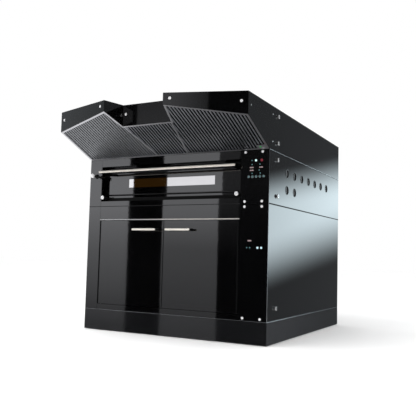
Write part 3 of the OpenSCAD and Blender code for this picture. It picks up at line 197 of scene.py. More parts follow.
@dataclass(frozen=True)
class Limit:
    """A plane that a zone fades in across: the distance along facing runs from start to end."""

    facing: Point
    start: float
    end: float

    def mask(self, graph: Graph) -> Socket:
        """Gives 0 before the plane and 1 beyond it."""
        return graph.remap(graph.distance(self.facing), self.start, self.end)


@dataclass(frozen=True)
class Zone:
    """A part of a node, inside one or two limits, where the finish is another one."""

    limits: tuple[Limit, ...]
    colour: Colour
    rough: float
    metal: float = 0.0
    specular: float = 0.5

    def blend(self, graph: Graph, feeds: Feeds) -> Feeds:
        """Mixes in what the zone changes.

        Args:
            graph: The material's graph.
            feeds: What feeds the shader's inputs outside the zone.

        Returns:
            What feeds them inside and outside.
        """
        masks = [limit.mask(graph) for limit in self.limits]
        mask = graph.combine("MULTIPLY", *masks) if len(masks) > 1 else masks[0]
        inside = {"Base Color": self.colour, "Roughness": self.rough, "Metallic": self.metal,
                  "Specular IOR Level": self.specular}
        changed = {name: value for name, value in inside.items() if feeds[name] != value}
        return feeds | {name: graph.mix(mask, feeds[name], value) for name, value in changed.items()}


@dataclass(frozen=True)
class Finish:
    """A finish with a plain colour that varies a little."""

    name: str
    colour: Colour
    rough: float = 0.5
    metal: float = 0.0
    ior: float = 1.5
    vary: float = 0.06
    grain: float = 60.0
    swing: float = 0.15
    zones: tuple[Zone, ...] = ()

    def material(self) -> bpy.types.Material:
        """Makes the finish's material.

        Returns:
            The material.
        """
        made = bpy.data.materials.new(self.name)
        made.use_nodes = True
        graph = Graph(made.node_tree)
        feeds: Feeds = {"Metallic": self.metal, "IOR": self.ior, "Specular IOR Level": 0.5} | self.paint(graph)
        for zone in self.zones:
            feeds = zone.blend(graph, feeds)
        for name, value in feeds.items():
            graph.feed(made.node_tree.nodes["Principled BSDF"].inputs[name], value)
        return made

    def shade(self, factor: float) -> Colour:
        """Gives the finish's colour made lighter or darker."""
        return tuple(min(1.0, part * factor) for part in self.colour)

    def tones(self, graph: Graph, source: Socket, low: float, high: float) -> Socket:
        """Gives the finish's colour, from low to high times as light over a noise value."""
        return graph.ramp(source, [(NOISE_LOW, self.shade(low)), (NOISE_HIGH, self.shade(high))])

    def varied(self, graph: Graph, source: Socket) -> Socket:
        """Gives the finish's colour with its own variation over a noise value."""
        return self.tones(graph, source, 1.0 - self.vary, 1.0 + self.vary)

    def coat(self, graph: Graph, colour: Socket, source: Socket, **more: Socket) -> Feeds:
        """Gives a colour, and a roughness that swings about the finish's own by a share of it.

        Args:
            graph: The material's graph.
            colour: The colour.
            source: The noise value that the roughness follows.
            **more: What feeds other inputs of the shader.

        Returns:
            What feeds the shader's inputs.
        """
        low, high = self.rough * (1.0 - self.swing), min(1.0, self.rough * (1.0 + self.swing))
        rough = graph.remap(source, NOISE_LOW, NOISE_HIGH, low, high)
        return {"Base Color": colour, "Roughness": rough} | more

    def paint(self, graph: Graph) -> Feeds:
        """Gives a colour and a roughness that follow one grain."""
        grains = graph.noise(self.grain)
        return self.coat(graph, self.varied(graph, grains), grains)


@dataclass(frozen=True)
class Enamel(Finish):
    """Mirror gloss enamel with a faint orange peel and a trace of dust."""

    colour: Colour = (0.0015, 0.0015, 0.0017)
    rough: float = 0.03
    ior: float = 1.92
    swing: float = 0.3
    dust: float = 3.0
    peel: float = 55.0
    peel_depth: float = 0.00002

    def paint(self, graph: Graph) -> Feeds:
        """Gives a smooth coat whose gloss changes slightly over a panel.

        Args:
            graph: The material's graph.

        Returns:
            What feeds the shader's inputs.
        """
        dust = graph.noise(self.dust, detail=5.0)
        peel = graph.relief(graph.noise(self.peel, detail=1.0), self.peel_depth)
        return self.coat(graph, self.tones(graph, dust, 0.85, 1.2), dust, Normal=peel)


@dataclass(frozen=True)
class Brushed(Finish):
    """Brushed metal with fine lines along one axis."""

    swing: float = 0.25
    along: Axis = Axis.X
    lines: float = 900.0
    stretch: float = 0.015
    depth: float = 0.00002

    def paint(self, graph: Graph) -> Feeds:
        """Gives stretched noise in colour, roughness and relief."""
        lines = graph.noise(self.lines, tuple(self.stretch if axis is self.along else 1.0 for axis in Axis), 2.0)
        return self.coat(graph, self.varied(graph, lines), lines, Normal=graph.relief(lines, self.depth))


@dataclass(frozen=True)
class Rough(Finish):
    """A grainy or fibrous finish with real relief."""

    vary: float = 0.2
    swing: float = 0.1
    relief: float = 0.0006
    stretch: Point = (1.0, 1.0, 1.0)
    patch: float = 0.06

    def paint(self, graph: Graph) -> Feeds:
        """Gives fine grain and coarse patches in the colour, and the grain in the relief.

        Args:
            graph: The material's graph.

        Returns:
            What feeds the shader's inputs.
        """
        fine = graph.noise(self.grain, self.stretch, 8.0)
        coarse = graph.noise(self.grain * self.patch, detail=4.0)
        both = graph.combine("MULTIPLY_ADD", fine, 0.5, graph.combine("MULTIPLY", coarse, 0.5))
        return self.coat(graph, self.varied(graph, both), fine, Normal=graph.relief(fine, self.relief))


@dataclass(frozen=True)
class Mesh(Finish):
    """Perforated sheet: a lattice of small holes in grey metal, painted in as dark spots of painted shade."""

    swing: float = 0.2
    pitch: float = 0.005
    hole: float = 0.30
    rim: float = 0.08
    dark: Colour = (0.02, 0.02, 0.02)
    depth: float = 0.0004

    def paint(self, graph: Graph) -> Feeds:
        """Gives the lattice of holes in relief, and in colour as painted shade.

        Args:
            graph: The material's graph.

        Returns:
            What feeds the shader's inputs.
        """
        lattice = graph.add("TexVoronoi", Vector=graph.place(), Scale=1.0 / self.pitch, Randomness=0.0)
        holes = lattice.outputs["Distance"]
        # Painted shade: each hole is dark, fading to the metal across its rim
        colour = graph.ramp(holes, [(self.hole, self.dark), (self.hole + self.rim, self.colour)])
        return self.coat(graph, colour, graph.noise(self.grain), Normal=graph.relief(holes, self.depth))


@dataclass(frozen=True)
class Braid(Finish):
    """Woven glass-fibre rope of a door seal."""

    swing: float = 0.0556
    strand: float = 0.004
    turn: float = 0.7
    depth: float = 0.0008

    def paint(self, graph: Graph) -> Feeds:
        """Gives crossing strands in relief, and painted shade that darkens the colour where they lie low.

        Args:
            graph: The material's graph.

        Returns:
            What feeds the shader's inputs.
        """
        places = (graph.place((0.3 / self.strand,) * 3, (0.0, turn, 0.0)) for turn in (self.turn, -self.turn))
        waves = (graph.add("TexWave", Vector=place, Scale=1.0).outputs["Fac"] for place in places)
        top = graph.combine("MAXIMUM", *waves)
        # Painted shade: the colour darkens where the strands lie low
        colour = graph.ramp(top, [(0.2, self.shade(0.55)), (1.0, self.shade(1.1))])
        return self.coat(graph, colour, graph.noise(self.grain), Normal=graph.relief(top, self.depth))


@dataclass(frozen=True)
class Zinc(Finish):
    """Galvanised sheet with its spangles."""

    swing: float = 0.3

    def paint(self, graph: Graph) -> Feeds:
        """Gives cells of slightly different grey and gloss.

        Args:
            graph: The material's graph.

        Returns:
            What feeds the shader's inputs.
        """
        cells = graph.add("TexVoronoi", Vector=graph.place(), Scale=self.grain)
        apart = graph.add("SeparateColor", Color=cells.outputs["Color"]).outputs
        colour = graph.ramp(apart["Red"], [(0.0, self.shade(1.0 - self.vary)), (1.0, self.shade(1.0 + self.vary))])
        return self.coat(graph, colour, apart["Green"])


@dataclass(frozen=True)
class Lit(Finish):
    """A glossy lens that glows a little in its own colour."""

    rough: float = 0.15
    grain: float = 200.0
    swing: float = 0.2
    glow: float = 0.5

    def lens(self, graph: Graph, colour: Socket, source: Socket) -> Feeds:
        """Gives the lens colour to surface and glow."""
        return self.coat(graph, colour, source) | {"Emission Color": colour, "Emission Strength": self.glow}

    def paint(self, graph: Graph) -> Feeds:
        """Gives an even lens."""
        grains = graph.noise(self.grain)
        return self.lens(graph, self.varied(graph, grains), grains)


@dataclass(frozen=True)
class LampLenses(Lit):
    """Small lenses, of which the one in the upper right corner has the alarm colour."""

    alarm: Colour = (0.16, 0.02, 0.03)
    alarm_x: float = 0.704
    alarm_z: float = 1.245

    def paint(self, graph: Graph) -> Feeds:
        """Gives each lens its colour by its place.

        Args:
            graph: The material's graph.

        Returns:
            What feeds the shader's inputs.
        """
        right = graph.combine("GREATER_THAN", graph.distance(RIGHTWARD), self.alarm_x)
        high = graph.combine("GREATER_THAN", graph.distance(UPWARD), self.alarm_z)
        corner = graph.combine("MULTIPLY", right, high)
        colour = graph.ramp(corner, [(0.0, self.colour), (0.5, self.alarm)], stepped=True)
        return self.lens(graph, colour, graph.noise(self.grain))


@dataclass(frozen=True)
class MirrorGlass(Finish):
    """Half-silvered oven glass: it mirrors the room, and a painted brown glow on the glass stands for the lit chamber
    behind it.
    """

    swing: float = 0.4
    # Colour of the painted glow
    glow: Colour = (0.022, 0.010, 0.002)
    smears: float = 9.0
    clouds: float = 2.5

    def paint(self, graph: Graph) -> Feeds:
        """Gives the mirror with faint smears, and the painted glow that stands for the lit chamber.

        Args:
            graph: The material's graph.

        Returns:
            What feeds the shader's inputs.
        """
        smear = graph.noise(self.smears, (1.0, 1.0, 3.0), 4.0)
        # Painted light: the glass itself glows faint brown, in patches, for the lit chamber
        dim = tuple(0.8 * part for part in self.glow)
        painted_glow = graph.ramp(graph.noise(self.clouds), [(NOISE_LOW, dim), (NOISE_HIGH, self.glow)])
        coat = self.coat(graph, self.tones(graph, smear, 0.98, 1.02), smear)
        return coat | {"Emission Color": painted_glow, "Emission Strength": 1.0}


# The plane of the grease filters rises forwards from the seam between deck and hood
FILTER_SLOPE = math.atan(0.43)
SLOPE_FACING = (0.0, math.sin(FILTER_SLOPE), math.cos(FILTER_SLOPE))
SLOPE_FOOT = math.cos(FILTER_SLOPE) * DECK_TOP + math.sin(FILTER_SLOPE) * FRONT_Y
# Where the painted shade between the slats begins: 5.2 to 7 mm above the filters' plane
SLAT_GAP_SHADE = (Limit(SLOPE_FACING, SLOPE_FOOT + 0.0052, SLOPE_FOOT + 0.0070),)

GLOSS_BLACK = Enamel("gloss_black_enamel")
# The plinth's right side is painted greyer, most of all towards the front: painted reflection on the one enamel
PLINTH_BLACK = Enamel("plinth_enamel", (0.007, 0.0072, 0.008), rough=0.05, zones=(
    Zone((Limit(RIGHTWARD, 0.7740, 0.7745), Limit(FORWARD, -0.8, 0.3)), (0.028, 0.029, 0.032), 0.08),))
# The recess is matt at its rear, under the oven door
FRONT_BLACK = Enamel("deck_front_enamel", zones=(
    Zone((Limit(REARWARD, -0.5602, -0.5598), Limit(DOWNWARD, -1.0362, -1.0358)), (0.004, 0.004, 0.004), 0.5,
         specular=0.08),))
# The oven door's inner face is bare steel
DOOR_BLACK = Enamel("oven_door_enamel", zones=(
    Zone((Limit(REARWARD, -0.5146, -0.5142),), (0.46, 0.46, 0.47), 0.36, metal=0.6),))
MATT_BLACK = Rough("matt_black_paint", (0.010, 0.010, 0.011), rough=0.55, grain=700.0, relief=0.00008)
GLAND_PLASTIC = Rough("gland_plastic", (0.02, 0.02, 0.02), rough=0.45, grain=900.0, relief=0.00005)
RUBBER = Rough("seal_rubber", (0.006, 0.006, 0.0065), rough=0.6, grain=600.0, relief=0.0001)
ROPE = Braid("glass_fibre_rope", (0.55, 0.50, 0.40), rough=0.9, grain=200.0)
LINER_STEEL = Brushed("liner_steel", (0.58, 0.59, 0.60), rough=0.38, metal=0.6, along=Axis.Y, vary=0.08)
# The strip over the cabinet doors is painted paler and warmer to the right: painted reflection on one steel
STRIP_STEEL = Brushed("strip_steel", (0.36, 0.36, 0.37), rough=0.35, metal=0.4, vary=0.08, zones=(
    Zone((Limit(RIGHTWARD, -0.40, 0.05),), (0.56, 0.53, 0.50), 0.35, metal=0.4),))
# The filters carry painted shade between their slats, dark, matt and weakly reflecting
FILTER_STEEL = Brushed("filter_steel", (0.34, 0.35, 0.38), rough=0.34, metal=1.0, along=Axis.Y, vary=0.10,
                       lines=600.0, zones=(Zone(SLAT_GAP_SHADE, (0.004, 0.004, 0.005), 0.6, specular=0.1),))
# Painted light and shade: the left filter gets a darker, rougher copy of the same filter steel, with paler painted
# shade between its slats
LEFT_FILTER_STEEL = replace(FILTER_STEEL, name="left_filter_steel", colour=(0.30, 0.31, 0.33), rough=0.40, zones=(
    Zone(SLAT_GAP_SHADE, (0.20, 0.20, 0.205), 0.6, metal=0.2, specular=0.3),))
# Painted reflection: the filter rails, one steel, are painted darker from the middle to the right
RAIL_STEEL = Brushed("rail_steel", (0.62, 0.62, 0.65), rough=0.34, metal=1.0, vary=0.08, zones=(
    Zone((Limit(RIGHTWARD, 0.0, 0.35),), (0.36, 0.36, 0.38), 0.30, metal=1.0),))
WARM_STEEL = Brushed("handle_steel", (0.86, 0.81, 0.74), rough=0.30, metal=0.5)
# The door handles' posts are black
PULL_STEEL = Brushed("door_pull_steel", (0.90, 0.86, 0.79), rough=0.30, metal=0.4, zones=(
    Zone((Limit(REARWARD, -0.6385, -0.6380),), (0.003, 0.003, 0.003), 0.4),))
EDGE_STEEL = Brushed("polished_edge", (0.50, 0.52, 0.54), rough=0.30, metal=1.0, along=Axis.Z, vary=0.15, lines=300.0)
ZINC_SHEET = Zinc("zinc_sheet", (0.50, 0.52, 0.53), rough=0.42, metal=1.0, grain=70.0, vary=0.14)
SCREEN = Mesh("perforated_screen", (0.12, 0.125, 0.13), rough=0.5, metal=0.3, grain=120.0)
# Screws and nuts on the sides get a darker, glossier, fully metallic copy of the finish: painted reflection on the
# same fittings as on the front
NICKEL = Finish("satin_nickel", (0.92, 0.92, 0.93), rough=0.28, metal=0.45, grain=90.0, vary=0.03, zones=tuple(
    Zone((Limit((float(sign), 0.0, 0.0), 0.7748, 0.7750),), (0.62, 0.63, 0.64), 0.16, metal=1.0)
    for sign, word in SIDES))
# The damper's knob is bright, its neck black
KNOB = Finish("damper_knob", (0.95, 0.95, 0.96), rough=0.25, metal=0.3, grain=90.0, vary=0.03, zones=(
    Zone((Limit(REARWARD, -0.6338, -0.6332),), (0.006, 0.006, 0.006), 0.4),))
ELEMENT_STEEL = Rough("burnt_element_steel", (0.11, 0.10, 0.095), rough=0.5, metal=0.8, grain=160.0, vary=0.35,
                      relief=0.00006)
MINERAL_WOOL = Rough("mineral_wool", (0.62, 0.58, 0.44), rough=0.95, grain=220.0, vary=0.22, relief=0.0015,
                     stretch=(1.0, 1.0, 3.0))
BAKING_STONE = Rough("baking_stone", (0.50, 0.40, 0.29), rough=0.9, grain=130.0, vary=0.25, relief=0.0005)
CONTROL_GEAR = Finish("control_gear_plastic", (0.42, 0.44, 0.45), grain=40.0, vary=0.15)
MOTOR_PAINT = Rough("motor_paint", (0.20, 0.22, 0.23), rough=0.45, grain=260.0, vary=0.15, relief=0.0001)
LAMP_GLASS = Lit("chamber_lamp_glass", (0.95, 0.72, 0.38), rough=0.12, glow=0.6, grain=30.0)
DISPLAY_RED = Lit("display_red", (0.27, 0.205, 0.21), rough=0.12, glow=0.25, grain=260.0, vary=0.25)
LENSES = LampLenses("lamp_lenses", (0.075, 0.16, 0.17), glow=0.35)
KEY_LIT = Lit("power_key_lens", (0.62, 0.93, 0.90))
KEY_TEAL = Lit("program_key_lens", (0.085, 0.15, 0.155), rough=0.18, glow=0.3)
KEY_PALE = Lit("cabinet_key_lens", (0.48, 0.70, 0.76), glow=0.4)
SWITCH_GREEN = Lit("hood_switch_lens", (0.03, 0.22, 0.05), rough=0.2, glow=0.4)
OVEN_GLASS = MirrorGlass("oven_glass", (0.66, 0.66, 0.665), rough=0.02, metal=1.0)
PALE_FLOOR = Finish("pale_floor", (0.93, 0.93, 0.93), rough=0.9, vary=0.01, grain=2.0)

COATS: dict[Finish, tuple[str, ...]] = {
    GLOSS_BLACK: ("cabinet_left_side", "cabinet_right_side", "cabinet_rear_panel", "cabinet_front_frame",
                  "lower_control_panel", "deck_left_side", "deck_right_side", "deck_rear_panel",
                  "upper_control_panel", "hood_left_side", "hood_right_side", "hood_canopy", "left_wing_fascia",
                  "right_wing_fascia", "centre_fascia", "left_door", "right_door"),
    DOOR_BLACK: ("oven_door",),
    PLINTH_BLACK: ("plinth_skirt",),
    FRONT_BLACK: ("deck_front_frame",),
    MATT_BLACK: ("base_frame", "door_rests"),
    GLAND_PLASTIC: ("cable_glands",),
    LINER_STEEL: ("cabinet_liner", "tray_racks", "chamber_liner", "levelling_feet"),
    STRIP_STEEL: ("drip_strip",),
    FILTER_STEEL: ("centre_filter", "right_filter"),
    LEFT_FILTER_STEEL: ("left_filter",),
    RAIL_STEEL: ("filter_rails",),
    ZINC_SHEET: ("fan_housing", "fan_wheel", "outlet_collar"),
    ELEMENT_STEEL: ("cabinet_heater", "heating_elements"),
    MINERAL_WOOL: ("chamber_insulation",),
    BAKING_STONE: ("stone_slabs",),
    LAMP_GLASS: ("chamber_lamp",),
    DISPLAY_RED: ("display_windows",),
    LENSES: ("indicator_lamps",),
    KEY_LIT: ("power_key",),
    KEY_TEAL: tuple(f"program_key_{place}" for place in range(1, 6)),
    KEY_PALE: ("cabinet_key_1", "cabinet_key_2"),
    SWITCH_GREEN: ("hood_switch",),
    CONTROL_GEAR: ("switchgear",),
    MOTOR_PAINT: ("fan_motor",),
    NICKEL: ("cover_screws", "cap_nuts"),
    KNOB: ("damper_pull",),
    WARM_STEEL: ("oven_handle_bar",),
    PULL_STEEL: ("left_door_handle", "right_door_handle"),
    OVEN_GLASS: ("oven_window",),
}


@cache
def material_of(finish: Finish) -> bpy.types.Material:
    """Gives a finish's material, made once."""
    return finish.material()


def dress_nodes() -> None:
    """Gives every CAD node its finish."""
    for finish, names in COATS.items():
        material = material_of(finish)
        for name in names:
            slots = NODES[name].material_slots
            if not slots:
                NODES[name].data.materials.append(material)
            for slot in slots:
                slot.material = material
        log.info("finish %s on %s", finish.name, ", ".join(names))
    bare = set(NODES) - {name for names in COATS.values() for name in names}
    if bare:
        raise ValueError(f"nodes with no finish: {sorted(bare)}")


def deselect() -> None:
    """Leaves nothing selected."""
    bpy.ops.object.select_all(action="DESELECT")


def activate(piece: Piece) -> None:
    """Selects one piece alone and makes it the active one.

    Args:
        piece: The piece.
    """
    deselect()
    piece.select_set(True)
    bpy.context.view_layer.objects.active = piece


def edit(piece: Piece) -> None:
    """Opens a piece in edit mode with nothing selected.

    Args:
        piece: The piece.
    """
    activate(piece)
    bpy.ops.object.mode_set(mode="EDIT")
    bpy.ops.mesh.select_all(action="DESELECT")


def leave() -> None:
    """Closes edit mode."""
    bpy.ops.object.mode_set(mode="OBJECT")


def select_whole() -> None:
    """Selects the whole mesh in edit mode."""
    bpy.ops.mesh.select_all(action="SELECT")


def extrude(shift: Point) -> None:
    """Extrudes what is selected in edit mode by a shift."""
    bpy.ops.mesh.extrude_region_move(TRANSFORM_OT_translate={"value": shift})


def close_shell() -> None:
    """Turns all faces outwards and closes edit mode."""
    select_whole()
    bpy.ops.mesh.normals_make_consistent(inside=False)
    leave()


def pick_faces(piece: Piece, test: Callable[[Vector, Vector], bool]) -> None:
    """Selects faces of the piece in edit mode.

    Args:
        piece: The piece.
        test: Tells from a face's centre and normal whether it is selected.
    """
    mesh = bmesh.from_edit_mesh(piece.data)
    bpy.ops.mesh.select_mode(type="FACE")
    for face in mesh.faces:
        face.select_set(test(face.calc_center_median(), face.normal))
    mesh.select_flush_mode()
    bmesh.update_edit_mesh(piece.data)


def pick_edges(piece: Piece, test: Callable[[Vector, Vector], bool]) -> None:
    """Selects edges of the piece in edit mode.

    Args:
        piece: The piece.
        test: Tells from an edge's two ends whether it is selected.
    """
    bpy.ops.mesh.select_mode(type="EDGE")
    mesh = bmesh.from_edit_mesh(piece.data)
    for edge in mesh.edges:
        edge.select_set(test(edge.verts[0].co, edge.verts[1].co))
    mesh.select_flush_mode()
    bmesh.update_edit_mesh(piece.data)


def modify(piece: Piece, kind: str, **values: object) -> None:
    """Adds a modifier and applies it.

    Args:
        piece: The piece.
        kind: The modifier's type name.
        **values: Its settings.
    """
    activate(piece)
    made = piece.modifiers.new(kind.lower(), kind)
    for key, value in values.items():
        setattr(made, key, value)
    bpy.ops.object.modifier_apply(modifier=made.name)


def settle(piece: Piece) -> None:
    """Puts a piece's place, turn and scale into its mesh."""
    activate(piece)
    bpy.ops.object.transform_apply(location=True, rotation=True, scale=True)


def start_block(name: str, low: Point, high: Point) -> Piece:
    """Starts a piece as a block.

    Args:
        name: The piece's name.
        low: Lowest corner.
        high: Highest corner.

    Returns:
        The block.
    """
    deselect()
    centre = [(a + b) / 2 for a, b in zip(low, high)]
    bpy.ops.mesh.primitive_cube_add(size=1.0, location=centre)
    piece = bpy.context.active_object
    piece.name = name
    piece.scale = [b - a for a, b in zip(low, high)]
    settle(piece)
    return piece


def start_disc(name: str, centre: Point, radius: float, facing: Point, sides: int = 40) -> Piece:
    """Starts a piece as a flat disc.

    Args:
        name: The piece's name.
        centre: The disc's centre.
        radius: Its radius.
        facing: The direction that it faces.
        sides: Number of its edges.

    Returns:
        The disc.
    """
    deselect()
    turn = Vector(facing).to_track_quat("Z", "Y").to_euler()
    bpy.ops.mesh.primitive_circle_add(vertices=sides, radius=radius, fill_type="NGON", location=centre, rotation=turn)
    piece = bpy.context.active_object
    piece.name = name
    settle(piece)
    return piece


def with_copies(first: Piece, shifts: list[Point]) -> list[Piece]:
    """Repeats a piece, each copy with its own mesh.

    Args:
        first: The piece.
        shifts: From the piece to each of its copies.

    Returns:
        The piece and its copies.
    """
    made = [first]
    for shift in shifts:
        activate(first)
        bpy.ops.object.duplicate(linked=False)
        copy = bpy.context.active_object
        copy.location = shift
        settle(copy)
        made.append(copy)
    return made


def join(parts: list[Piece], name: str) -> Piece:
    """Joins parts into one piece.

    Args:
        parts: The parts.
        name: The piece's name.

    Returns:
        The piece.
    """
    deselect()
    for part in parts:
        part.select_set(True)
    bpy.context.view_layer.objects.active = parts[0]
    bpy.ops.object.join()
    parts[0].name = name
    return parts[0]


def dress(piece: Piece, finish: Finish, body: str = "oven") -> None:
    """Gives a modelled piece its shading, finish and body.

    Args:
        piece: The piece.
        finish: Its finish.
        body: The body that it rides on.
    """
    activate(piece)
    bpy.ops.object.shade_smooth_by_angle(angle=SMOOTH_BELOW)
    piece.data.materials.clear()
    piece.data.materials.append(material_of(finish))
    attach(piece, body)
    log.info("piece %s rides on %s, %d faces", piece.name, body, len(piece.data.polygons))


@dataclass
class SeamBeads:
    """Bright steel beads along the seams over the plinth and under the hood and up the right front corner, as painted
    highlights of the folded edges, and black rubber strips in the seam between cabinet and deck, as painted shadow.
    """

    levels: tuple[float, float] = (0.1600, 1.3395)
    height: float = 0.0024
    # Level and height of the black strips that stand as painted shadow in the seam between cabinet and deck
    seam_shadow_level: float = 0.9648
    seam_shadow_height: float = 0.0045
    proud: float = 0.0012
    sunk: float = 0.0006
    edge: float = 0.0005
    plinth: Box = ((-0.775, -0.5936, 0.15928), (0.775, -0.5924, 0.16072))
    seam_shadow: Box = ((-0.775, -0.59348, 0.96255), (0.560, -0.5924, 0.96705))
    corner: Box = ((0.7738, -0.5942, 0.1620), (0.7762, -0.5918, 1.3380))

    def bead(self, name: str, low: Point, high: Point) -> Piece:
        """Models one bead with rounded edges.

        Args:
            name: The bead's name.
            low: Its lowest corner.
            high: Its highest corner.

        Returns:
            The bead.
        """
        piece = start_block(name, low, high)
        modify(piece, "BEVEL", width=self.edge, segments=2)
        return piece

    def side_bead(self, name: str, sign: int, level: float, height: float) -> Piece:
        """Models the bead of one side at one level."""
        near, far = sorted((sign * (SIDE_X - self.sunk), sign * (SIDE_X + self.proud)))
        return self.bead(name, (near, FRONT_Y, level - height / 2), (far, REAR_Y, level + height / 2))

    def build(self) -> None:
        """Builds the beads of painted highlight and the strips of painted shadow, on the sides and the front."""
        for sign, word in SIDES:
            # Bright beads as painted highlights of the folded edges, a black strip as painted shadow in the seam gap
            parts = [self.side_bead("bead", sign, level, self.height) for level in self.levels]
            dress(join(parts, f"seam_highlights_{word}"), EDGE_STEEL)
            seam_shadow = self.side_bead(f"side_seam_shadow_{word}", sign, self.seam_shadow_level, self.seam_shadow_height)
            dress(seam_shadow, RUBBER)
        # Painted highlights over the plinth and up the right front corner, painted shadow between cabinet and deck
        dress(self.bead("plinth_highlight", *self.plinth), EDGE_STEEL)
        dress(self.bead("front_seam_shadow", *self.seam_shadow), RUBBER)
        dress(self.bead("corner_highlight", *self.corner), EDGE_STEEL)


@dataclass
class VentCollars:
    """Rolled collars in the round vents of the deck's sides, each with a perforated screen behind it."""

    first_y: float = -0.247
    pitch: float = 0.162
    rows: tuple[tuple[float, int], ...] = ((1.213, 7), (1.090, 2))
    hole: float = 0.032
    depth: float = 0.009
    proud: float = 0.0012
    lip: float = 0.0015
    roll: float = 0.0014
    wall: float = 0.001
    edge: float = 0.0004
    screen_play: float = 0.001
    screen_wall: float = 0.0008
    ring: float = 0.008
    dishes: tuple[float, float] = (0.001, 0.0005)

    def places(self) -> list[tuple[float, float]]:
        """Gives each vent's Y and Z."""
        return [(self.first_y + i * self.pitch, level) for level, count in self.rows for i in range(count)]

    def collar(self, sign: int) -> Piece:
        """Models the first collar: a flat lip that turns inwards into a short tube.

        Args:
            sign: -1 on the left side, 1 on the right.

        Returns:
            The collar.
        """
        place = (sign * (SIDE_X + self.proud), *self.places()[0])
        piece = start_disc("collar", place, self.hole + self.lip, (float(sign), 0.0, 0.0))
        edit(piece)
        select_whole()
        bpy.ops.mesh.inset(thickness=self.lip + self.roll)
        extrude((-sign * self.depth, 0.0, 0.0))
        bpy.ops.mesh.delete(type="FACE")
        close_shell()
        modify(piece, "SOLIDIFY", thickness=self.wall, offset=0.0)
        modify(piece, "BEVEL", width=self.edge, segments=2)
        return piece

    def screen(self, sign: int) -> Piece:
        """Models the first screen: a dished disc.

        Args:
            sign: -1 on the left side, 1 on the right.

        Returns:
            The screen.
        """
        y, z = self.places()[0]
        place = (sign * (SIDE_X - self.depth), y, z)
        piece = start_disc("screen", place, self.hole - self.screen_play, (float(sign), 0.0, 0.0))
        edit(piece)
        for dish in self.dishes:
            bpy.ops.mesh.select_all(action="DESELECT")
            pick_faces(piece, lambda centre, normal: (centre - Vector((centre.x, y, z))).length < NEAR)
            bpy.ops.mesh.inset(thickness=self.ring)
            bpy.ops.transform.translate(value=(sign * dish, 0.0, 0.0))
        leave()
        modify(piece, "SOLIDIFY", thickness=self.screen_wall, offset=-1.0)
        return piece

    def build(self) -> None:
        """Builds the collars and screens of both sides."""
        y0, z0 = self.places()[0]
        shifts = [(0.0, y - y0, z - z0) for y, z in self.places()[1:]]
        for sign, word in SIDES:
            for kind, make, finish, slot in (("vent_collars", self.collar, GLOSS_BLACK, "gloss_black"),
                                             ("vent_screens", self.screen, SCREEN, "galvanised_steel")):
                dress(join(with_copies(make(sign), shifts), f"{kind}_{word}"), finish)


@dataclass
class DoorSeals:
    """Rubber frames on the inner faces of the cabinet doors, and the rope round the oven's mouth."""

    door_back: float = -0.571
    doors: tuple[tuple[str, float, float], ...] = (("left", -0.627, -0.074), ("right", -0.052, 0.527))
    seal_foot: float = 0.214
    seal_top: float = 0.844
    seal_w: float = 0.011
    seal_t: float = 0.0055
    mouth_plate: float = -0.510
    mouth_low: tuple[float, float] = (-0.594, 1.0535)
    mouth_high: tuple[float, float] = (0.494, 1.2335)
    rope_w: float = 0.012
    rope_t: float = 0.0024
    roundness: float = 0.35

    def frame(self, name: str, low: tuple[float, float], high: tuple[float, float], y: float, width: float,
              thick: float, closed: bool = True) -> Piece:
        """Models a rounded frame that lies in an XZ plane.

        Args:
            name: The piece's name.
            low: Lowest X and Z.
            high: Highest X and Z.
            y: Its front plane.
            width: Width of its legs.
            thick: Thickness along Y.
            closed: Whether it has a bottom leg.

        Returns:
            The frame.
        """
        piece = start_block(name, (low[0], y, low[1]), (high[0], y + thick, high[1]))
        edit(piece)
        pick_faces(piece, lambda centre, normal: normal.dot(Vector(FORWARD)) < 0.5)
        bpy.ops.mesh.delete(type="FACE")
        select_whole()
        bpy.ops.mesh.inset(thickness=width)
        bpy.ops.mesh.delete(type="FACE")
        if not closed:
            pick_faces(piece, lambda centre, normal: centre.z < low[1] + width)
            bpy.ops.mesh.delete(type="FACE")
        select_whole()
        extrude((0.0, thick, 0.0))
        close_shell()
        modify(piece, "BEVEL", width=min(width, thick) * self.roundness, segments=3)
        return piece

    def build(self) -> None:
        """Builds the three seals."""
        for word, left, right in self.doors:
            seal = self.frame(f"{word}_door_seal", (left, self.seal_foot), (right, self.seal_top), self.door_back,
                              self.seal_w, self.seal_t)
            dress(seal, RUBBER, f"{word}_door")
        rope = self.frame("mouth_rope", self.mouth_low, self.mouth_high, self.mouth_plate - self.rope_t, self.rope_w,
                          self.rope_t, closed=False)
        dress(rope, ROPE)


@dataclass(frozen=True)
class Ring:
    """A flat ring that stands on the front."""

    outer: float
    inner: float
    thick: float
    edge: float
    segments: int
    sides: int

    def model(self, name: str, x: float, z: float) -> Piece:
        """Models the ring.

        Args:
            name: Its name.
            x: X of its centre.
            z: Z of its centre.

        Returns:
            The ring.
        """
        piece = start_disc(name, (x, FRONT_Y - self.thick, z), self.outer, FORWARD, self.sides)
        edit(piece)
        select_whole()
        bpy.ops.mesh.inset(thickness=self.outer - self.inner)
        bpy.ops.mesh.delete(type="FACE")
        select_whole()
        extrude((0.0, self.thick, 0.0))
        close_shell()
        modify(piece, "BEVEL", width=self.edge, segments=self.segments)
        return piece


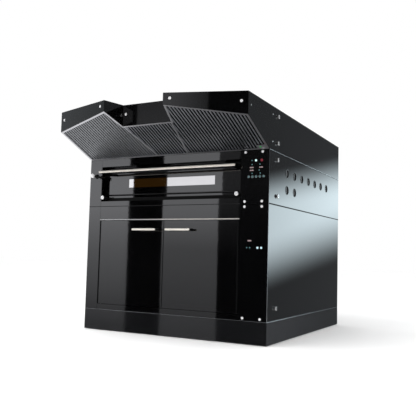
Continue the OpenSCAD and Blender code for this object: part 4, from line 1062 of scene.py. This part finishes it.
@dataclass
class PanelTrim:
    """Thin bezels round the keys and a rosette where the damper's rod leaves the stile."""

    rows: tuple[tuple[float, float, int], ...] = ((0.6745, 1.265, 1), (0.6215, 1.152, 5), (0.6975, 0.660, 2))
    pitch: float = 0.028
    bezel: Ring = Ring(0.0098, 0.0076, 0.0009, 0.0003, 2, 32)
    damper: tuple[float, float] = (-0.7083, 1.206)
    rosette: Ring = Ring(0.019, 0.0056, 0.0022, 0.0008, 3, 40)

    def build(self) -> None:
        """Builds bezels and rosette."""
        keys = [(x + i * self.pitch, z) for x, z, count in self.rows for i in range(count)]
        x0, z0 = keys[0]
        parts = with_copies(self.bezel.model("bezel", x0, z0), [(x - x0, 0.0, z - z0) for x, z in keys[1:]])
        dress(join(parts, "key_bezels"), EDGE_STEEL)
        dress(self.rosette.model("damper_rosette", *self.damper), MATT_BLACK)


@dataclass
class RearTrim:
    """Pressed louvres over the slots of the rear panel and rows of pan-head screws along its edges."""

    louvre_xs: tuple[float, float] = (-0.3875, 0.3875)
    louvre_foot: float = 1.117
    louvre_w: float = 0.172
    louvre_h: float = 0.017
    louvre_out: float = 0.009
    louvre_top_out: float = 0.001
    louvre_sunk: float = 0.0002
    louvre_edge: float = 0.0025
    pitch: float = 0.024
    rows: int = 6
    screw_x: float = 0.763
    screw_zs: tuple[float, ...] = (0.180, 0.360, 0.560, 0.760, 0.945, 0.985, 1.150, 1.320, 1.360, 1.500, 1.635)
    screw_r: float = 0.0045
    screw_seat: float = 0.0001
    head_h: float = 0.0022
    head_edge: float = 0.0006
    recess_r: float = 0.002025
    recess_d: float = 0.0012

    def louvre(self) -> Piece:
        """Models the first louvre: a block whose upper outer edge leans back to the panel.

        Returns:
            The louvre.
        """
        x, half, out = self.louvre_xs[0], self.louvre_w / 2, REAR_Y + self.louvre_out
        top = self.louvre_foot + self.louvre_h
        piece = start_block("louvre", (x - half, REAR_Y - self.louvre_sunk, self.louvre_foot), (x + half, out, top))
        edit(piece)
        pick_edges(piece, lambda a, b: min(a.y, b.y) > out - NEAR and min(a.z, b.z) > top - NEAR)
        bpy.ops.transform.translate(value=(0.0, self.louvre_top_out - self.louvre_out, 0.0))
        leave()
        modify(piece, "BEVEL", width=self.louvre_edge, segments=3)
        return piece

    def screw(self) -> Piece:
        """Models the first screw: a rounded head with a recess.

        Returns:
            The screw.
        """
        place = (self.screw_x, REAR_Y + self.screw_seat, self.screw_zs[0])
        piece = start_disc("screw", place, self.screw_r, REARWARD, 20)
        edit(piece)
        select_whole()
        extrude((0.0, self.head_h, 0.0))
        bpy.ops.mesh.inset(thickness=self.screw_r - self.recess_r)
        extrude((0.0, -self.recess_d, 0.0))
        close_shell()
        modify(piece, "BEVEL", width=self.head_edge, segments=2)
        return piece

    def build(self) -> None:
        """Builds all louvres and screws."""
        steps = [(x - self.louvre_xs[0], 0.0, i * self.pitch) for x in self.louvre_xs for i in range(self.rows)]
        parts = with_copies(self.louvre(), steps[1:])
        dress(join(parts, "rear_louvres"), GLOSS_BLACK)
        steps = [(x - self.screw_x, 0.0, z - self.screw_zs[0])
                 for x in (self.screw_x, -self.screw_x) for z in self.screw_zs]
        parts = with_copies(self.screw(), steps[1:])
        dress(join(parts, "rear_screws"), NICKEL)


def add_card(name: str, start: tuple[float, float], end: tuple[float, float], top: float,
             show: Callable[[Graph], Socket], strength: float = 1.0) -> None:
    """Adds an upright card that glows and shows in reflections only.

    Args:
        name: The card's name.
        start: X and Y of its first upright edge.
        end: X and Y of its second upright edge.
        top: Height of its top.
        show: Adds to the card's graph what it shows, and gives its colour.
        strength: Strength of its glow.
    """
    material = bpy.data.materials.new(name)
    material.use_nodes = True
    graph, nodes = Graph(material.node_tree), material.node_tree.nodes
    nodes.remove(nodes["Principled BSDF"])
    glow = graph.add("Emission", Color=show(graph), Strength=strength)
    graph.feed(nodes["Material Output"].inputs["Surface"], glow.outputs["Emission"])
    mesh = bpy.data.meshes.new(name)
    mesh.from_pydata([(*start, CARD_FOOT), (*end, CARD_FOOT), (*end, top), (*start, top)], [], [(0, 1, 2, 3)])
    mesh.materials.append(material)
    card = bpy.data.objects.new(name, mesh)
    bpy.context.scene.collection.objects.link(card)
    for ray in ("camera", "diffuse", "transmission", "volume_scatter", "shadow"):
        setattr(card, f"visible_{ray}", False)


@dataclass
class Camera:
    """The camera at the photograph's place and angle."""

    place: Point = (2.3030, -4.3157, 0.5919)
    yaw: float = 28.203
    pitch: float = 4.694
    roll: float = 1.527
    lens: float = 51.1
    sensor: float = 36.0
    reach: float = 100.0

    def build(self) -> None:
        """Adds the camera and makes it the scene's."""
        yaw, pitch, roll = (math.radians(angle) for angle in (self.yaw, self.pitch, self.roll))
        forward = Vector((-math.sin(yaw) * math.cos(pitch), math.cos(yaw) * math.cos(pitch), math.sin(pitch)))
        right = Vector((math.cos(yaw), math.sin(yaw), 0.0))
        up = right.cross(forward)
        axes = (right * math.cos(roll) + up * math.sin(roll), up * math.cos(roll) - right * math.sin(roll), -forward)
        data = bpy.data.cameras.new("camera")
        data.lens = self.lens
        data.sensor_width = self.sensor
        data.clip_end = self.reach
        made = bpy.data.objects.new("camera", data)
        bpy.context.scene.collection.objects.link(made)
        made.location = self.place
        made.rotation_mode = "QUATERNION"
        made.rotation_quaternion = Matrix(axes).transposed().to_quaternion()
        bpy.context.scene.camera = made
        log.info("camera at %s", self.place)


@dataclass(frozen=True)
class Wall:
    """An upright card in the camera's plane: bands along X times a fall along Z, each a place and a level."""

    name: str
    low: float
    high: float
    bands: tuple[tuple[float, float], ...]
    fall: tuple[tuple[float, float], ...]
    stepped: bool = True
    tint: Colour = (0.95, 0.96, 1.0)
    fall_top: float = 3.0

    def show(self, graph: Graph) -> Socket:
        """Adds what the wall shows.

        Args:
            graph: The card's graph.

        Returns:
            The colour.
        """
        across = [((x - self.low) / (self.high - self.low), tuple(level * part for part in self.tint))
                  for x, level in self.bands]
        bands = graph.ramp(graph.remap(graph.distance(RIGHTWARD), self.low, self.high), across, self.stepped)
        upward = [((z - CARD_FOOT) / (self.fall_top - CARD_FOOT), (level,) * 3) for z, level in self.fall]
        fall = graph.ramp(graph.remap(graph.distance(UPWARD), CARD_FOOT, self.fall_top), upward)
        both = graph.add("Mix", data_type="RGBA", blend_type="MULTIPLY", Factor=1.0, A=bands, B=fall)
        return both.outputs["Result"]


@dataclass(frozen=True)
class StripEdge:
    """A soft slanted edge: it runs from start to end in Z at its middle X, and falls with its slope along X."""

    slope: float
    middle: float
    start: float
    end: float

    def mask(self, graph: Graph) -> Socket:
        """Gives 0 before the edge and 1 beyond it.

        Args:
            graph: The card's graph.

        Returns:
            The mask.
        """
        shift = graph.combine("MULTIPLY_ADD", graph.distance(RIGHTWARD), self.slope, -self.slope * self.middle)
        height = graph.combine("ADD", shift, graph.distance(UPWARD))
        return graph.remap(height, self.start, self.end, easing="SMOOTHSTEP")


@dataclass
class Studio:
    """White room, pale floor, soft lamp, and the cards that gloss surfaces mirror."""

    wall_y: float = -4.3157
    wall_top: float = 8.0
    walls: tuple[Wall, ...] = (
        Wall("left_wall", -6.0, -3.08, ((-6.0, 1.5),),
             ((-0.5, 0.13), (-0.3, 0.20), (0.0, 0.31), (0.65, 0.51), (1.3, 0.84), (1.7, 0.88), (2.07, 0.80),
              (2.2, 0.30), (2.9, 0.12))),
        Wall("middle_wall", -3.08, -1.52, ((-3.08, 0.0), (-2.46, 1.17)),
             ((-0.5, 0.21), (0.1, 0.31), (0.7, 0.42), (1.2, 0.80), (1.6, 0.95), (2.1, 0.84), (2.2, 0.82),
              (2.26, 0.20), (2.9, 0.12))),
        Wall("dark_wall", -1.52, 0.1, ((-1.52, 0.15), (-1.20, 0.03)),
             ((0.6, 0.0), (1.0, 0.25), (1.6, 0.90), (2.2, 1.0), (2.26, 0.4))),
        Wall("wing_wall", 0.1, 8.0, ((0.1, 0.42), (0.45, 0.40), (0.905, 0.13), (0.93, 0.0)), ((0.0, 1.0),),
             stepped=False),
    )
    left_x: float = -6.0
    left_y: tuple[float, float] = (-4.31, 1.0)
    left_fade: tuple[float, float] = (-4.3, 0.0)
    left_shade: Colour = (0.62, 0.66, 0.69)
    side_y: float = 6.0
    side_x: tuple[float, float] = (-2.0, 24.0)
    side_top: float = 12.0
    side_edges: tuple[StripEdge, StripEdge] = (
        StripEdge(0.162, 3.48, 2.272, 1.471), StripEdge(0.444, 3.45, -0.056, 1.055))
    side_dark: Colour = (0.032, 0.034, 0.036)
    side_bright: Colour = (0.80, 0.94, 1.0)
    side_strength: float = 3.0
    ambient: float = 1.08
    floor_size: float = 60.0
    lamp_place: Point = (-1.5, -3.0, 6.0)
    lamp_aim: Point = (0.0, 0.0, 0.5)
    lamp_energy: float = 300.0
    lamp_size: float = 5.0

    def side_show(self, graph: Graph) -> Socket:
        """Gives the bright strip between its two slanted edges."""
        strip = graph.combine("MULTIPLY", *(edge.mask(graph) for edge in self.side_edges))
        return graph.ramp(strip, [(0.0, self.side_dark), (1.0, self.side_bright)])

    def left_show(self, graph: Graph) -> Socket:
        """Gives a grey that fades out towards the front."""
        fade = graph.remap(graph.distance(REARWARD), *self.left_fade)
        return graph.ramp(fade, [(0.0, (0.0, 0.0, 0.0)), (1.0, self.left_shade)])

    def cards(self) -> None:
        """Adds the walls that the front mirrors, the card of the left wing and that of the right side."""
        for wall in self.walls:
            add_card(wall.name, (wall.low, self.wall_y), (wall.high, self.wall_y), self.wall_top, wall.show)
        (near, far), (left, right) = self.left_y, self.side_x
        add_card("left_card", (self.left_x, near), (self.left_x, far), self.wall_top, self.left_show)
        add_card("side_card", (left, self.side_y), (right, self.side_y), self.side_top, self.side_show,
                 self.side_strength)

    def world(self) -> None:
        """Lights the room evenly, and shows it white to the camera and to gloss and glass."""
        made = bpy.data.worlds.new("room")
        made.use_nodes = True
        bpy.context.scene.world = made
        graph = Graph(made.node_tree)
        path = graph.add("LightPath").outputs
        seen = graph.combine("MAXIMUM", path["Is Camera Ray"], path["Is Glossy Ray"])
        through = graph.combine("MAXIMUM", seen, path["Is Transmission Ray"])
        background = made.node_tree.nodes["Background"].inputs
        background["Color"].default_value = (1.0, 1.0, 1.0, 1.0)
        graph.feed(background["Strength"], graph.combine("MULTIPLY_ADD", through, 1.0 - self.ambient, self.ambient))

    def floor(self) -> None:
        """Adds the plain pale floor."""
        deselect()
        bpy.ops.mesh.primitive_plane_add(size=self.floor_size, location=(0.0, 0.0, 0.0))
        made = bpy.context.active_object
        made.name = "floor"
        made.data.materials.append(material_of(PALE_FLOOR))
        made.visible_glossy = False

    def lamp(self) -> None:
        """Adds the large soft lamp over the front left."""
        data = bpy.data.lights.new("soft_lamp", "AREA")
        data.energy = self.lamp_energy
        data.size = self.lamp_size
        made = bpy.data.objects.new("soft_lamp", data)
        bpy.context.scene.collection.objects.link(made)
        made.location = self.lamp_place
        made.rotation_mode = "QUATERNION"
        made.rotation_quaternion = (Vector(self.lamp_aim) - Vector(self.lamp_place)).to_track_quat("-Z", "Y")
        made.visible_glossy = False

    def build(self) -> None:
        """Builds the whole studio."""
        self.world()
        self.floor()
        self.lamp()
        self.cards()
        bpy.context.scene.view_settings.view_transform = "Standard"
        log.info("studio ready")


def main() -> None:
    """Dresses the oven and builds its studio."""
    logging.basicConfig(level=logging.INFO)
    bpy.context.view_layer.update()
    dress_nodes()
    Camera().build()
    for assembly in (SeamBeads(), VentCollars(), DoorSeals(), PanelTrim(), RearTrim()):
        assembly.build()
    Studio().build()


if __name__ == "__main__":
    main()
